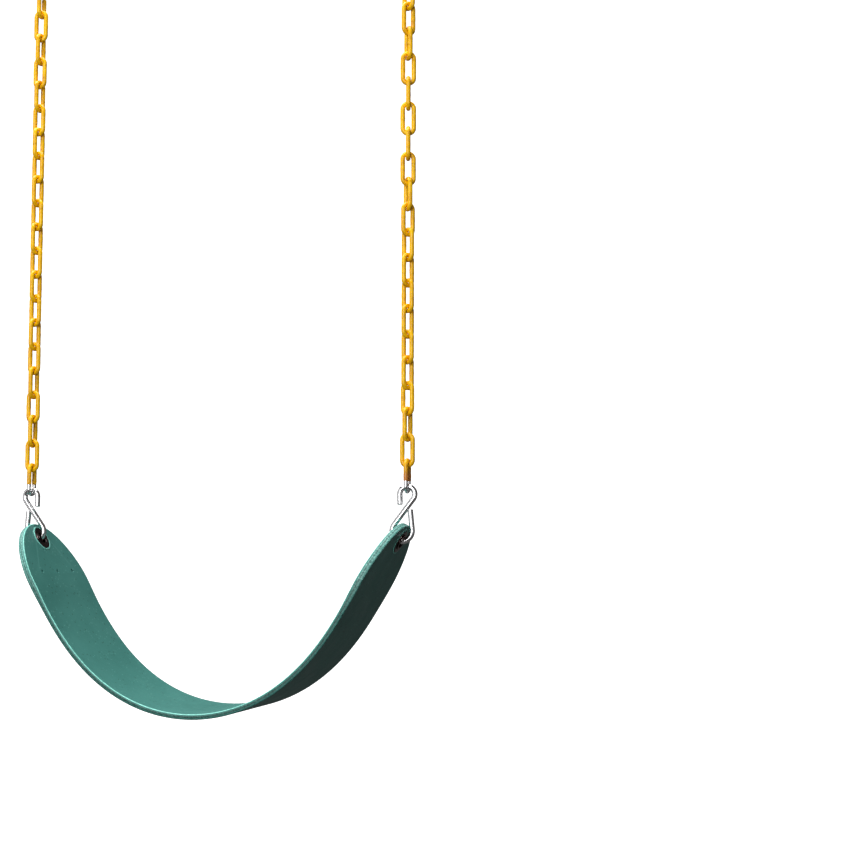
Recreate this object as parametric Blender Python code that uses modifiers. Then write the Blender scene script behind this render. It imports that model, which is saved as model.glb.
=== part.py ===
"""Belt swing seat: a moulded belt hung by S-hooks from two coated chains with snap hooks.

Units are metres. +X runs along the beam that the swing hangs from, +Y is the way it swings,
and +Z is up. The origin is on the hanging line, midway between the two snap hooks, at the
height where the rod or ring that holds them bears on the inside of their eyes.
"""
import math

import bmesh
import bpy
from mathutils import Matrix, Vector

# ---- belt -------------------------------------------------------------------------------
BELT_LENGTH = 0.685
BELT_WIDTH = 0.140
BELT_THICKNESS = 0.0064
BELT_END_THICKNESS = 0.0080
BELT_END_ANGLE = math.radians(61.0)  # slope of the flat ends when the seat hangs
BELT_FLAT_END = 0.075                # straight stretch at each tip
BELT_BEND_POWER = 2.5                # how evenly the bend is spread between the flat ends
BELT_NOSE_LENGTH = 0.075             # distance over which a tip rounds out to full width
BELT_NOSE_POWER = 1.7
BELT_EDGE_RADIUS = 0.0012
THICKENING_START = 0.120             # from the tip: here the belt begins to thicken
THICKENING_END = 0.080

# ---- grommet and insert plate in each end of the belt -------------------------------------
GROMMET_FROM_TIP = 0.0205
GROMMET_BORE_RADIUS = 0.00675
GROMMET_WALL = 0.0010
GROMMET_FLANGE_RADIUS = 0.0135
GROMMET_FLANGE_THICKNESS = 0.0010
GROMMET_LIP_REACH = 0.0018
GROMMET_MOUTH_RADIUS = 0.0009
INSERT_THICKNESS = 0.0015
INSERT_NECK_RADIUS = 0.0125
INSERT_CORNER_RADIUS = 0.006
INSERT_CORNER_FROM_TIP = 0.066
INSERT_CORNER_SPREAD = 0.038
PIN_HOLE_RADIUS = 0.0017
PIN_HOLE_FROM_TIP = 0.066
PIN_HOLE_SPACING = 0.038

# ---- chain --------------------------------------------------------------------------------
LINK_COUNT = 21
LINK_PITCH = 0.030
LINK_STEEL_DIAMETER = 0.0048
LINK_COATED_DIAMETER = 0.0056
LINK_SIDE_PLAY = 0.0018              # across a link, beside its neighbour's wire
HOOK_SIDE_PLAY = 0.0012              # across an end link, beside its hook's wire
LINK_BARE_LENGTH = 0.012             # uncoated stretch of the two end links
COAT_EDGE_LENGTH = 0.0006
# How the links have turned about the chain, on top of the quarter turn from each to the next:
# between a first and a last link, counted from the seat, the turn grows by so many degrees.
CHAIN_TWISTS = {
    "left": ((3.0, 7.0, -17.0), (15.0, 20.0, 17.0)),
    "right": ((1.0, 5.0, -30.0), (10.0, 14.0, -45.0), (16.5, 22.0, 75.0)),
}

# ---- S-hooks -------------------------------------------------------------------------------
S_WIRE_DIAMETER = 0.0065
S_UPPER_INNER_RADIUS = 0.00575
S_LOWER_INNER_RADIUS = 0.00875
S_CENTRE_DISTANCE = 0.0425
S_LOWER_INSET = 0.006                # how far the lower bend stands in from the chain
S_UPPER_LEG = 0.0118
S_LOWER_LEG = 0.0234
S_UPPER_LEG_LEAN = math.radians(2.0)
S_LOWER_LEG_LEAN = math.radians(6.0)
S_TURN = {"left": math.radians(6.0), "right": 0.0}

# ---- snap hooks ----------------------------------------------------------------------------
SNAP_WIRE_DIAMETER = 0.007
SNAP_EYE_RADIUS = 0.0095             # of the wire's centre line
SNAP_LOOP_RADIUS = 0.015
SNAP_CENTRE_DISTANCE = 0.0485
SNAP_LEG_ANGLE = math.radians(11.6)
SNAP_WAIST_RADIUS = 0.005
SNAP_NOSE_ANGLE = math.radians(217.0)
SNAP_TONGUE_LENGTH = 0.0028
SNAP_TONGUE_THICKNESS = 0.0026
GATE_DIAMETER = 0.0064
GATE_PIVOT_HEIGHT = 0.0085           # above the centre of the lower loop
GATE_HEEL = 0.0030                   # gate below its rivet
TANG_HEEL = 0.0042                   # tang below the rivet, down to the full wire
TANG_HEAD = 0.0030
SLOT_DEPTH = 0.0043
SLOT_THICKNESS = 0.0034
GATE_BORE_RADIUS = 0.0021
GATE_BORE_DEPTH = 0.012
GATE_NOSE_GAP = 0.0009
RIVET_RADIUS = 0.0012
RIVET_HEAD_RADIUS = 0.0022
RIVET_HEAD_THICKNESS = 0.0007
SPRING_WIRE_DIAMETER = 0.0006
SPRING_TURNS = 5

# ---- fits and mesh density ------------------------------------------------------------------
GAP = 0.0003                         # between pieces that touch
HOOK_GAP = 0.0010                    # between a hook and the grommet that it carries
WELD = 0.00001
WIRE_SIDES = 2                       # bevel resolution: eight sides
LINK_ARC_STEPS = 6
BELT_COLUMNS = 56
BELT_NOSE_SHARE = 0.30
BELT_ROWS = 8
BELT_NOSE_TURN = math.radians(87.0)  # the last row of the grid stops this far round the nose
BELT_NOSE_REACH = 0.999              # and this far along it, so that the tip keeps a width
TURNED_STEPS = 24
RIVET_STEPS = 12
GATE_SIDES = 16
HOLE_SIDES = 12
PIN_HOLE_SIDES = 10
SMOOTH_ANGLE = math.radians(35.0)
BEVEL_ANGLE = math.radians(50.0)

SIDES = {"left": -1.0, "right": 1.0}

COLOURS = {
    "green_rubber": ((0.055, 0.200, 0.180), 0.55, 0.0),
    "yellow_coating": ((0.780, 0.410, 0.012), 0.30, 0.0),
    "zinc_steel": ((0.720, 0.720, 0.730), 0.22, 1.0),
    "dark_bronze": ((0.060, 0.048, 0.042), 0.30, 1.0),
    "insert_steel": ((0.420, 0.420, 0.430), 0.45, 1.0),
    "spring_steel": ((0.500, 0.500, 0.520), 0.35, 1.0),
}


# ---- scene helpers ---------------------------------------------------------------------------
def clear_scene():
    for obj in list(bpy.data.objects):
        bpy.data.objects.remove(obj, do_unlink=True)


def new_collection(name):
    collection = bpy.data.collections.new(name)
    bpy.context.scene.collection.children.link(collection)
    return collection


def make_material(name):
    colour, roughness, metallic = COLOURS[name]
    material = bpy.data.materials.new(name)
    material.use_nodes = True
    shader = material.node_tree.nodes["Principled BSDF"]
    shader.inputs["Base Color"].default_value = (*colour, 1.0)
    shader.inputs["Roughness"].default_value = roughness
    shader.inputs["Metallic"].default_value = metallic
    material.diffuse_color = (*colour, 1.0)
    return material


def add_object(name, data, collection, matrix=None):
    obj = bpy.data.objects.new(name, data)
    collection.objects.link(obj)
    if matrix is not None:
        obj.matrix_world = matrix
    return obj


def give_material(obj, name):
    """Each sub-part has a material of its own, made from one of the finishes above."""
    material = make_material(name)
    material.name = f"{obj.name}_{name}"
    if not obj.data.materials:
        obj.data.materials.append(material)
    obj.material_slots[0].link = "OBJECT"
    obj.material_slots[0].material = material


def shade(mesh):
    mesh.shade_smooth()
    mesh.set_sharp_from_angle(angle=SMOOTH_ANGLE)


def arc(centre, radius, start, end, steps):
    """Points in the XZ plane along an arc, both ends included."""
    points = []
    for i in range(steps + 1):
        angle = start + (end - start) * i / steps
        points.append((centre[0] + radius * math.cos(angle), centre[1] + radius * math.sin(angle)))
    return points


def wire_curve(name, points, diameter, closed=False, radii=None):
    """A round wire along points (x, z) in the XZ plane, or (x, y, z) in space."""
    curve = bpy.data.curves.new(name, "CURVE")
    curve.dimensions = "3D"
    curve.bevel_depth = diameter / 2
    curve.bevel_resolution = WIRE_SIDES
    curve.use_fill_caps = not closed
    spline = curve.splines.new("POLY")
    spline.points.add(len(points) - 1)
    for i, point in enumerate(points):
        x, y, z = point if len(point) == 3 else (point[0], 0.0, point[1])
        spline.points[i].co = (x, y, z, 1.0)
        spline.points[i].radius = radii[i] if radii else 1.0
    spline.use_cyclic_u = closed
    return curve


def plate_curve(name, outlines, thickness):
    """A flat plate in the XY plane. The first outline is its edge, and the others are holes."""
    curve = bpy.data.curves.new(name, "CURVE")
    curve.dimensions = "2D"
    curve.fill_mode = "BOTH"
    curve.extrude = thickness / 2
    for outline in outlines:
        spline = curve.splines.new("POLY")
        spline.points.add(len(outline) - 1)
        for i, (x, y) in enumerate(outline):
            spline.points[i].co = (x, y, 0.0, 1.0)
        spline.use_cyclic_u = True
    return curve


def mesh_from_curve(name, curve, collection, matrix):
    """Turn a curve into a closed mesh with welded caps, and drop the curve."""
    holder = add_object(f"{name}_curve", curve, collection, matrix)
    bpy.context.view_layer.update()
    graph = bpy.context.evaluated_depsgraph_get()
    mesh = bpy.data.meshes.new_from_object(holder.evaluated_get(graph))
    mesh.name = name
    bm = bmesh.new()
    bm.from_mesh(mesh)
    bmesh.ops.remove_doubles(bm, verts=bm.verts, dist=WELD)
    bmesh.ops.recalc_face_normals(bm, faces=bm.faces)
    bm.to_mesh(mesh)
    bm.free()
    shade(mesh)
    obj = add_object(name, mesh, collection, holder.matrix_world.copy())
    bpy.data.objects.remove(holder, do_unlink=True)
    return obj


def cylinder_mesh(name, radius, length, sides):
    """A closed cylinder about its own Z axis, centred on its origin."""
    mesh = bpy.data.meshes.new(name)
    bm = bmesh.new()
    bmesh.ops.create_cone(
        bm, cap_ends=True, segments=sides, radius1=radius, radius2=radius, depth=length
    )
    bm.to_mesh(mesh)
    bm.free()
    return mesh


def box_mesh(name, size):
    mesh = bpy.data.meshes.new(name)
    bm = bmesh.new()
    bmesh.ops.create_cube(bm, size=1.0)
    bmesh.ops.scale(bm, vec=Vector(size), verts=bm.verts)
    bm.to_mesh(mesh)
    bm.free()
    return mesh


def turned_object(name, profile, collection, matrix, steps=TURNED_STEPS):
    """A turned piece: a profile of (radius, height) points and a Screw modifier.

    The profile is closed, or it starts and ends on the axis.
    """
    mesh = bpy.data.meshes.new(name)
    bm = bmesh.new()
    corners = [bm.verts.new((radius, 0.0, height)) for radius, height in profile]
    for first, second in zip(corners, corners[1:]):
        bm.edges.new((first, second))
    if profile[0][0] > 0.0:
        bm.edges.new((corners[-1], corners[0]))
    bm.to_mesh(mesh)
    bm.free()
    obj = add_object(name, mesh, collection, matrix)
    screw = obj.modifiers.new("turn", "SCREW")
    screw.axis = "Z"
    screw.steps = steps
    screw.render_steps = steps
    screw.use_merge_vertices = True
    screw.merge_threshold = WELD
    screw.use_smooth_shade = True
    return obj


def cut(obj, cutter):
    """Subtract a cutter, which stays in the cutters' collection as a hidden guide."""
    cutter.hide_render = True
    cutter.display_type = "WIRE"
    boolean = obj.modifiers.new(cutter.name, "BOOLEAN")
    boolean.operation = "DIFFERENCE"
    boolean.solver = "EXACT"
    boolean.object = cutter


# ---- the belt's hanging shape -----------------------------------------------------------------
def belt_slope(s):
    """Slope of the belt at a distance s along it from its lowest point."""
    bent = BELT_LENGTH / 2 - BELT_FLAT_END
    power = BELT_BEND_POWER
    mid_curvature = BELT_END_ANGLE / (bent * power / (power + 1.0))
    run = min(abs(s), bent)
    angle = mid_curvature * (run - run ** (power + 1.0) / ((power + 1.0) * bent ** power))
    return math.copysign(angle, s)


def belt_point(s, steps=160):
    """Where the belt's middle surface is at s, from its lowest point: (x, z)."""
    x = 0.0
    z = 0.0
    step = abs(s) / steps
    for i in range(steps):
        slope = belt_slope((i + 0.5) * step)
        x += math.cos(slope) * step
        z += math.sin(slope) * step
    return math.copysign(x, s), z


def ramp(value, start, end):
    return min(max((value - start) / (end - start), 0.0), 1.0)


def smooth_step(value, start, end):
    t = ramp(value, start, end)
    return t * t * (3.0 - 2.0 * t)


def belt_thickness(from_tip):
    extra = BELT_END_THICKNESS - BELT_THICKNESS
    return BELT_THICKNESS + extra * smooth_step(-from_tip, -THICKENING_START, -THICKENING_END)


def belt_half_width(from_tip):
    """Half of the belt's width: a superellipse round the tip, then straight edges."""
    if from_tip >= BELT_NOSE_LENGTH:
        return BELT_WIDTH / 2
    inward = 1.0 - from_tip / BELT_NOSE_LENGTH
    return BELT_WIDTH / 2 * math.sqrt(1.0 - inward ** BELT_NOSE_POWER)


# ---- heights and places that follow from the sizes above -----------------------------------------
SLOPE_COS = math.cos(BELT_END_ANGLE)
SLOPE_SIN = math.sin(BELT_END_ANGLE)
S_WIRE_RADIUS = S_WIRE_DIAMETER / 2
S_UPPER_RADIUS = S_UPPER_INNER_RADIUS + S_WIRE_RADIUS        # of the wire's centre line
S_LOWER_RADIUS = S_LOWER_INNER_RADIUS + S_WIRE_RADIUS
STEEL_RADIUS = LINK_STEEL_DIAMETER / 2
COATED_RADIUS = LINK_COATED_DIAMETER / 2
SNAP_WIRE_RADIUS = SNAP_WIRE_DIAMETER / 2

SNAP_EYE_Z = -(SNAP_EYE_RADIUS - SNAP_WIRE_RADIUS)
SNAP_LOOP_Z = SNAP_EYE_Z - SNAP_CENTRE_DISTANCE
SNAP_WIRE_Z = SNAP_LOOP_Z - SNAP_LOOP_RADIUS

LINK_WIRE_SPAN = LINK_PITCH + LINK_COATED_DIAMETER + GAP   # wire centre to wire centre


def link_end_radius():
    """Bend radius of a link's centre line, wide enough for the thickest wire through its ends."""
    neighbour = LINK_COATED_DIAMETER + LINK_SIDE_PLAY / 2
    thickest_hook = max(S_WIRE_DIAMETER, SNAP_WIRE_DIAMETER)
    hook = (LINK_STEEL_DIAMETER + thickest_hook + HOOK_SIDE_PLAY) / 2
    return max(neighbour, hook)


LINK_END_RADIUS = link_end_radius()
LINK_HALF_STRAIGHT = LINK_WIRE_SPAN / 2 - LINK_END_RADIUS
TOP_WIRE_Z = SNAP_WIRE_Z + SNAP_WIRE_RADIUS + GAP + STEEL_RADIUS
CONTACT_OFFSET = COATED_RADIUS + GAP / 2                   # wire centre to the contact beside it
FIRST_CONTACT_Z = TOP_WIRE_Z - LINK_WIRE_SPAN + CONTACT_OFFSET
BOTTOM_WIRE_Z = FIRST_CONTACT_Z - (LINK_COUNT - 2) * LINK_PITCH + CONTACT_OFFSET - LINK_WIRE_SPAN

S_TOP_Z = BOTTOM_WIRE_Z + STEEL_RADIUS + GAP + S_WIRE_RADIUS
S_UPPER_Z = S_TOP_Z - S_UPPER_RADIUS
S_LOWER_Z = S_UPPER_Z - math.sqrt(S_CENTRE_DISTANCE ** 2 - S_LOWER_INSET ** 2)


def seat_on_hook():
    """Distance from the grommet's axis to the hook's wire inside it, towards the belt's tip.

    The bend of the hook rises towards both mouths of the bore, so it bears on their rims. A wire
    that is thick for the bore is set back from the axis, and the distance is then negative.
    """
    mouth = GROMMET_FLANGE_THICKNESS + GROMMET_WALL - GROMMET_MOUTH_RADIUS / 2
    reach = BELT_END_THICKNESS / 2 + 2 * GAP + mouth
    inner = S_LOWER_INNER_RADIUS
    rise = inner - math.sqrt(max(inner ** 2 - reach ** 2, 0.0))
    return GROMMET_BORE_RADIUS - S_WIRE_RADIUS - rise - HOOK_GAP


GROMMET_OFFSET = seat_on_hook()
GROMMET_S = BELT_LENGTH / 2 - GROMMET_FROM_TIP
GROMMET_X, GROMMET_RISE = belt_point(GROMMET_S)
SEAT_PIVOT_X = GROMMET_X + GROMMET_OFFSET * SLOPE_COS
CHAIN_X = SEAT_PIVOT_X + S_LOWER_RADIUS * SLOPE_COS + S_LOWER_INSET
SEAT_PIVOT_Z = S_LOWER_Z - S_LOWER_RADIUS * SLOPE_SIN
BELT_Z = SEAT_PIVOT_Z - GROMMET_OFFSET * SLOPE_SIN - GROMMET_RISE


def s_hook_matrix(side):
    """Frame at the top of an S-hook's wire, turned about the line between its two bearing points."""
    sign = SIDES[side]
    line = Vector((sign * (SEAT_PIVOT_X - CHAIN_X), 0.0, SEAT_PIVOT_Z - S_TOP_Z))
    place = Matrix.Translation((sign * CHAIN_X, 0.0, S_TOP_Z))
    return place @ Matrix.Rotation(S_TURN[side], 4, line)


def end_matrix(side, from_tip, height=0.0):
    """Frame on one end of the belt: local +X to the tip, +Y across, +Z out of the seat face."""
    sign = SIDES[side]
    x, z = belt_point(BELT_LENGTH / 2 - from_tip)
    to_tip = Vector((sign * SLOPE_COS, 0.0, SLOPE_SIN))
    normal = Vector((-sign * SLOPE_SIN, 0.0, SLOPE_COS))
    across = normal.cross(to_tip)
    matrix = Matrix.Identity(4)
    for column, vector in enumerate((to_tip, across, normal)):
        for row in range(3):
            matrix[row][column] = vector[row]
    matrix.translation = Vector((sign * x, 0.0, BELT_Z + z)) + normal * height
    return matrix


# ---- seat ------------------------------------------------------------------------------------------
def make_belt(parts, cutters):
    """A grid bent along the belt's curve and rounded at the tips, thickened by Solidify."""
    mesh = bpy.data.meshes.new("seat_belt")
    bm = bmesh.new()
    bmesh.ops.create_grid(bm, x_segments=BELT_COLUMNS, y_segments=BELT_ROWS, size=1.0)
    nose_start = 1.0 - BELT_NOSE_SHARE
    weights = []
    for vert in bm.verts:
        along = abs(vert.co.x)
        if along <= nose_start:
            from_tip = BELT_LENGTH / 2 - along / nose_start * (BELT_LENGTH / 2 - BELT_NOSE_LENGTH)
        else:
            turn = (along - nose_start) / BELT_NOSE_SHARE * BELT_NOSE_TURN
            reach = math.sin(turn) / math.sin(BELT_NOSE_TURN) * BELT_NOSE_REACH
            from_tip = BELT_NOSE_LENGTH * (1.0 - reach)
        x, z = belt_point(math.copysign(BELT_LENGTH / 2 - from_tip, vert.co.x))
        vert.co = (x, vert.co.y * belt_half_width(from_tip), z)
        weights.append(belt_thickness(from_tip) / BELT_END_THICKNESS)
    bm.to_mesh(mesh)
    bm.free()
    belt = add_object("seat_belt", mesh, parts, Matrix.Translation((0.0, 0.0, BELT_Z)))
    group = belt.vertex_groups.new(name="thickness")
    for index, weight in enumerate(weights):
        group.add([index], weight, "REPLACE")
    solidify = belt.modifiers.new("thickness", "SOLIDIFY")
    solidify.thickness = BELT_END_THICKNESS
    solidify.offset = 0.0
    solidify.use_even_offset = True
    solidify.vertex_group = "thickness"
    bevel = belt.modifiers.new("rounded edge", "BEVEL")
    bevel.width = BELT_EDGE_RADIUS
    bevel.segments = 2
    bevel.limit_method = "ANGLE"
    bevel.angle_limit = BEVEL_ANGLE
    for side in SIDES:
        cut_belt_end(belt, side, cutters)
    give_material(belt, "green_rubber")
    belt.data.shade_smooth()
    return belt


def cut_belt_end(belt, side, cutters):
    """Room for the insert plate, the grommet's bore through it, and three pin holes down to it."""
    at_grommet = end_matrix(side, GROMMET_FROM_TIP)
    pocket = insert_curve(f"insert_pocket_{side}", GAP)
    cut(belt, mesh_from_curve(f"insert_pocket_{side}", pocket, cutters, at_grommet))
    bore_radius = GROMMET_BORE_RADIUS + GROMMET_WALL + GAP
    bore = cylinder_mesh(f"grommet_bore_{side}", bore_radius, 3 * BELT_END_THICKNESS, TURNED_STEPS)
    cut(belt, add_object(bore.name, bore, cutters, at_grommet))
    at_face = end_matrix(side, PIN_HOLE_FROM_TIP, BELT_END_THICKNESS / 2)
    for number in (-1, 0, 1):
        name = f"pin_hole_{side}_{number + 2}"
        pin = cylinder_mesh(name, PIN_HOLE_RADIUS, BELT_END_THICKNESS, PIN_HOLE_SIDES)
        place = at_face @ Matrix.Translation((0.0, number * PIN_HOLE_SPACING, 0.0))
        cut(belt, add_object(name, pin, cutters, place))


def insert_curve(name, clearance):
    """The insert's outline: a round neck at the grommet that widens to two round corners."""
    neck = (0.0, 0.0, INSERT_NECK_RADIUS + clearance)
    back = GROMMET_FROM_TIP - INSERT_CORNER_FROM_TIP
    left = (back, INSERT_CORNER_SPREAD, INSERT_CORNER_RADIUS + clearance)
    right = (back, -INSERT_CORNER_SPREAD, INSERT_CORNER_RADIUS + clearance)
    outline = round_hull([neck, left, right])
    outlines = [outline]
    if clearance == 0.0:
        hole = GROMMET_BORE_RADIUS + GROMMET_WALL + GAP
        outlines.append([(hole * math.cos(a), hole * math.sin(a)) for a in full_turn(TURNED_STEPS)])
    return plate_curve(name, outlines, INSERT_THICKNESS + 2 * clearance)


def full_turn(steps):
    return [2 * math.pi * i / steps for i in range(steps)]


def round_hull(circles, steps=6):
    """The taut outline round circles (x, y, radius) that are listed anticlockwise."""
    tangents = []
    for first, second in zip(circles, circles[1:] + circles[:1]):
        heading = math.atan2(second[1] - first[1], second[0] - first[0])
        distance = math.hypot(second[0] - first[0], second[1] - first[1])
        tangents.append(heading - math.pi / 2 + math.asin((first[2] - second[2]) / distance))
    outline = []
    for i, (x, y, radius) in enumerate(circles):
        start = tangents[i - 1]
        sweep = (tangents[i] - start) % (2 * math.pi)
        outline += arc((x, y), radius, start, start + sweep, steps)
    return outline


def make_insert(side, parts):
    name = f"insert_plate_{side}"
    at_grommet = end_matrix(side, GROMMET_FROM_TIP)
    give_material(mesh_from_curve(name, insert_curve(name, 0.0), parts, at_grommet), "insert_steel")


def make_grommet(side, parts):
    """An eyelet whose barrel passes through the belt and is rolled over a washer behind it."""
    face = BELT_END_THICKNESS / 2 + GAP
    bore = GROMMET_BORE_RADIUS
    wall = bore + GROMMET_WALL
    round_in = GROMMET_MOUTH_RADIUS
    top = face + GROMMET_FLANGE_THICKNESS
    washer_back = -face - GROMMET_FLANGE_THICKNESS
    lip_front = washer_back - GAP
    lip_back = lip_front - GROMMET_WALL
    rim = GROMMET_FLANGE_RADIUS
    chamfer = GROMMET_FLANGE_THICKNESS / 3
    profile = [
        (rim, top - chamfer), (rim, face), (wall, face), (wall, lip_front),
        (wall + GROMMET_LIP_REACH, lip_front), (wall + GROMMET_LIP_REACH, lip_back + chamfer),
        (wall + GROMMET_LIP_REACH - chamfer, lip_back),
    ]
    profile += arc((bore + round_in, lip_back + round_in), round_in, -math.pi / 2, -math.pi, 2)
    profile += arc((bore + round_in, top - round_in), round_in, math.pi, math.pi / 2, 2)
    profile.append((rim - chamfer, top))
    matrix = end_matrix(side, GROMMET_FROM_TIP)
    give_material(turned_object(f"grommet_eyelet_{side}", profile, parts, matrix), "dark_bronze")
    washer = [
        (rim, -face), (rim, washer_back + chamfer), (rim - chamfer, washer_back),
        (wall + GAP, washer_back), (wall + GAP, -face),
    ]
    give_material(turned_object(f"grommet_washer_{side}", washer, parts, matrix), "dark_bronze")


# ---- S-hooks --------------------------------------------------------------------------------------
def s_hook_points():
    """The hook's centre line, x out from the chain's line and z up from the top of the wire.

    It runs from the tip of the upper leg, which is on the seat's side, over the upper bend,
    down the slanting shank, through the grommet and up the outer leg.
    """
    upper = (0.0, -S_UPPER_RADIUS)
    lower = (-S_LOWER_INSET, S_LOWER_Z - S_TOP_Z)
    heading = math.atan2(lower[1] - upper[1], lower[0] - upper[0])
    swing = math.acos((S_UPPER_RADIUS + S_LOWER_RADIUS) / S_CENTRE_DISTANCE)
    leave = heading + swing                 # where the shank leaves the upper bend
    arrive = leave - math.pi                # and where it meets the lower bend
    upper_start = math.pi + S_UPPER_LEG_LEAN
    points = [leg_end(upper, S_UPPER_RADIUS, upper_start, S_UPPER_LEG)]
    points += arc(upper, S_UPPER_RADIUS, upper_start, leave, 10)
    lower_end = S_LOWER_LEG_LEAN + 2 * math.pi
    points += arc(lower, S_LOWER_RADIUS, arrive + 2 * math.pi, lower_end, 11)
    points.append(leg_end(lower, S_LOWER_RADIUS, lower_end, S_LOWER_LEG))
    return points


def leg_end(centre, radius, angle, length):
    """The tip of a straight leg that leaves an arc along its anticlockwise tangent."""
    x = centre[0] + radius * math.cos(angle) - length * math.sin(angle)
    z = centre[1] + radius * math.sin(angle) + length * math.cos(angle)
    return x, z


def make_s_hook(side, parts):
    points = [(SIDES[side] * x, z) for x, z in s_hook_points()]
    curve = wire_curve(f"s_hook_{side}", points, S_WIRE_DIAMETER)
    give_material(mesh_from_curve(f"s_hook_{side}", curve, parts, s_hook_matrix(side)), "zinc_steel")


# ---- chains ----------------------------------------------------------------------------------------
def chain_twist(side, number):
    """How far a link has turned about the chain, in degrees, on top of the quarter turn per link."""
    return sum(degrees * ramp(number, first, last) for first, last, degrees in CHAIN_TWISTS[side])


def link_points(bare_end):
    """A link's centre line from its top wire down, and the radius factor at each point."""
    half = LINK_HALF_STRAIGHT
    upper = arc((0.0, half), LINK_END_RADIUS, 0.0, math.pi, LINK_ARC_STEPS)
    lower = arc((0.0, -half), LINK_END_RADIUS, math.pi, 2 * math.pi, LINK_ARC_STEPS)
    if bare_end is None:
        return upper + lower, None
    edge = LINK_WIRE_SPAN / 2 - LINK_BARE_LENGTH
    bare = LINK_STEEL_DIAMETER / LINK_COATED_DIAMETER
    step = COAT_EDGE_LENGTH / 2
    sign = 1.0 if bare_end == "top" else -1.0
    down = [(-LINK_END_RADIUS, sign * edge + step), (-LINK_END_RADIUS, sign * edge - step)]
    up = [(LINK_END_RADIUS, z) for _, z in reversed(down)]
    points = upper + down + lower + up
    return points, [bare if sign * z > edge else 1.0 for _, z in points]


def link_curve(name, bare_end=None, hang=CONTACT_OFFSET):
    """A link's curve, whose origin is where the link hangs: hang below its top wire's centre."""
    points, radii = link_points(bare_end)
    shift = hang - LINK_WIRE_SPAN / 2
    return wire_curve(name, [(x, z + shift) for x, z in points], LINK_COATED_DIAMETER, True, radii)


def make_chain(side, curves, parts):
    """Links are numbered from the seat up. Each one turns a quarter turn from the one below."""
    for number in range(1, LINK_COUNT + 1):
        name = f"chain_link_{side}_{number:02d}"
        if number == LINK_COUNT:
            curve = curves["top"]
            z = SNAP_WIRE_Z
        else:
            curve = curves["bottom"] if number == 1 else curves["middle"]
            z = FIRST_CONTACT_Z - (LINK_COUNT - 1 - number) * LINK_PITCH
        angle = math.radians(90.0 * (number % 2) + chain_twist(side, number))
        place = Matrix.Translation((SIDES[side] * CHAIN_X, 0.0, z)) @ Matrix.Rotation(angle, 4, "Z")
        give_material(add_object(name, curve, parts, place), "yellow_coating")


# ---- snap hooks --------------------------------------------------------------------------------------
def gate_point(along):
    """A point on the gate's centre line, measured up it from the rivet: (x, z)."""
    heel_x = -SNAP_LOOP_RADIUS * math.cos(SNAP_LEG_ANGLE)
    heel_z = SNAP_LOOP_Z + SNAP_LOOP_RADIUS * math.sin(SNAP_LEG_ANGLE)
    to_rivet = (SNAP_LOOP_Z + GATE_PIVOT_HEIGHT - heel_z) / math.cos(SNAP_LEG_ANGLE)
    distance = to_rivet + along
    return heel_x + distance * math.sin(SNAP_LEG_ANGLE), heel_z + distance * math.cos(SNAP_LEG_ANGLE)


def gate_matrix(side, along):
    """Frame on the gate: local +Z up the gate, +Y along the rivet."""
    x, z = gate_point(along)
    place = Matrix.Translation((SIDES[side] * CHAIN_X + x, 0.0, z))
    return place @ Matrix.Rotation(SNAP_LEG_ANGLE, 4, "Y")


def gate_length():
    """From the rivet to the gate's head, which stops just short of the nose."""
    nose_z = SNAP_EYE_Z + SNAP_EYE_RADIUS * math.sin(SNAP_NOSE_ANGLE)
    to_nose = (nose_z - gate_point(0.0)[1]) / math.cos(SNAP_LEG_ANGLE)
    nose_tilt = SNAP_WIRE_DIAMETER * math.sin(SNAP_LEG_ANGLE)
    return to_nose - nose_tilt - GATE_NOSE_GAP


def waist_centre():
    """Centre of the small bend between the eye and the plain leg."""
    normal = Vector((math.cos(SNAP_LEG_ANGLE), math.sin(SNAP_LEG_ANGLE)))
    along = Vector((-math.sin(SNAP_LEG_ANGLE), math.cos(SNAP_LEG_ANGLE)))
    start = Vector((0.0, SNAP_LOOP_Z)) + normal * (SNAP_LOOP_RADIUS + SNAP_WAIST_RADIUS)
    offset = start - Vector((0.0, SNAP_EYE_Z))
    reach = SNAP_EYE_RADIUS + SNAP_WAIST_RADIUS
    half = offset.dot(along)
    travel = -half - math.sqrt(half ** 2 - offset.length_squared + reach ** 2)
    return start + along * travel


def snap_points():
    """The snap hook's centre line, from its nose over the eye and round the loop to its tang."""
    eye = (0.0, SNAP_EYE_Z)
    loop = (0.0, SNAP_LOOP_Z)
    leg = SNAP_LEG_ANGLE
    waist = waist_centre()
    contact = math.atan2(waist.y - SNAP_EYE_Z, waist.x)
    points = [leg_end(eye, SNAP_EYE_RADIUS, SNAP_NOSE_ANGLE, SNAP_TONGUE_LENGTH)]
    points += arc(eye, SNAP_EYE_RADIUS, SNAP_NOSE_ANGLE, contact, 12)
    points += arc(tuple(waist), SNAP_WAIST_RADIUS, contact + math.pi, leg + math.pi, 3)[1:]
    points += arc(loop, SNAP_LOOP_RADIUS, leg, -math.pi - leg, 14)
    points.append(gate_point(TANG_HEAD))
    return points


def rivet_matrix(side):
    """Frame at the middle of the gate's rivet: local +Z along it."""
    return gate_matrix(side, 0.0) @ Matrix.Rotation(math.pi / 2, 4, "X")


def nose_matrix(side):
    """Frame where the tongue leaves the nose: local +Z along the tongue, +Y across it."""
    x = SIDES[side] * CHAIN_X + SNAP_EYE_RADIUS * math.cos(SNAP_NOSE_ANGLE)
    z = SNAP_EYE_Z + SNAP_EYE_RADIUS * math.sin(SNAP_NOSE_ANGLE)
    return Matrix.Translation((x, 0.0, z)) @ Matrix.Rotation(-SNAP_NOSE_ANGLE, 4, "Y")


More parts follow.
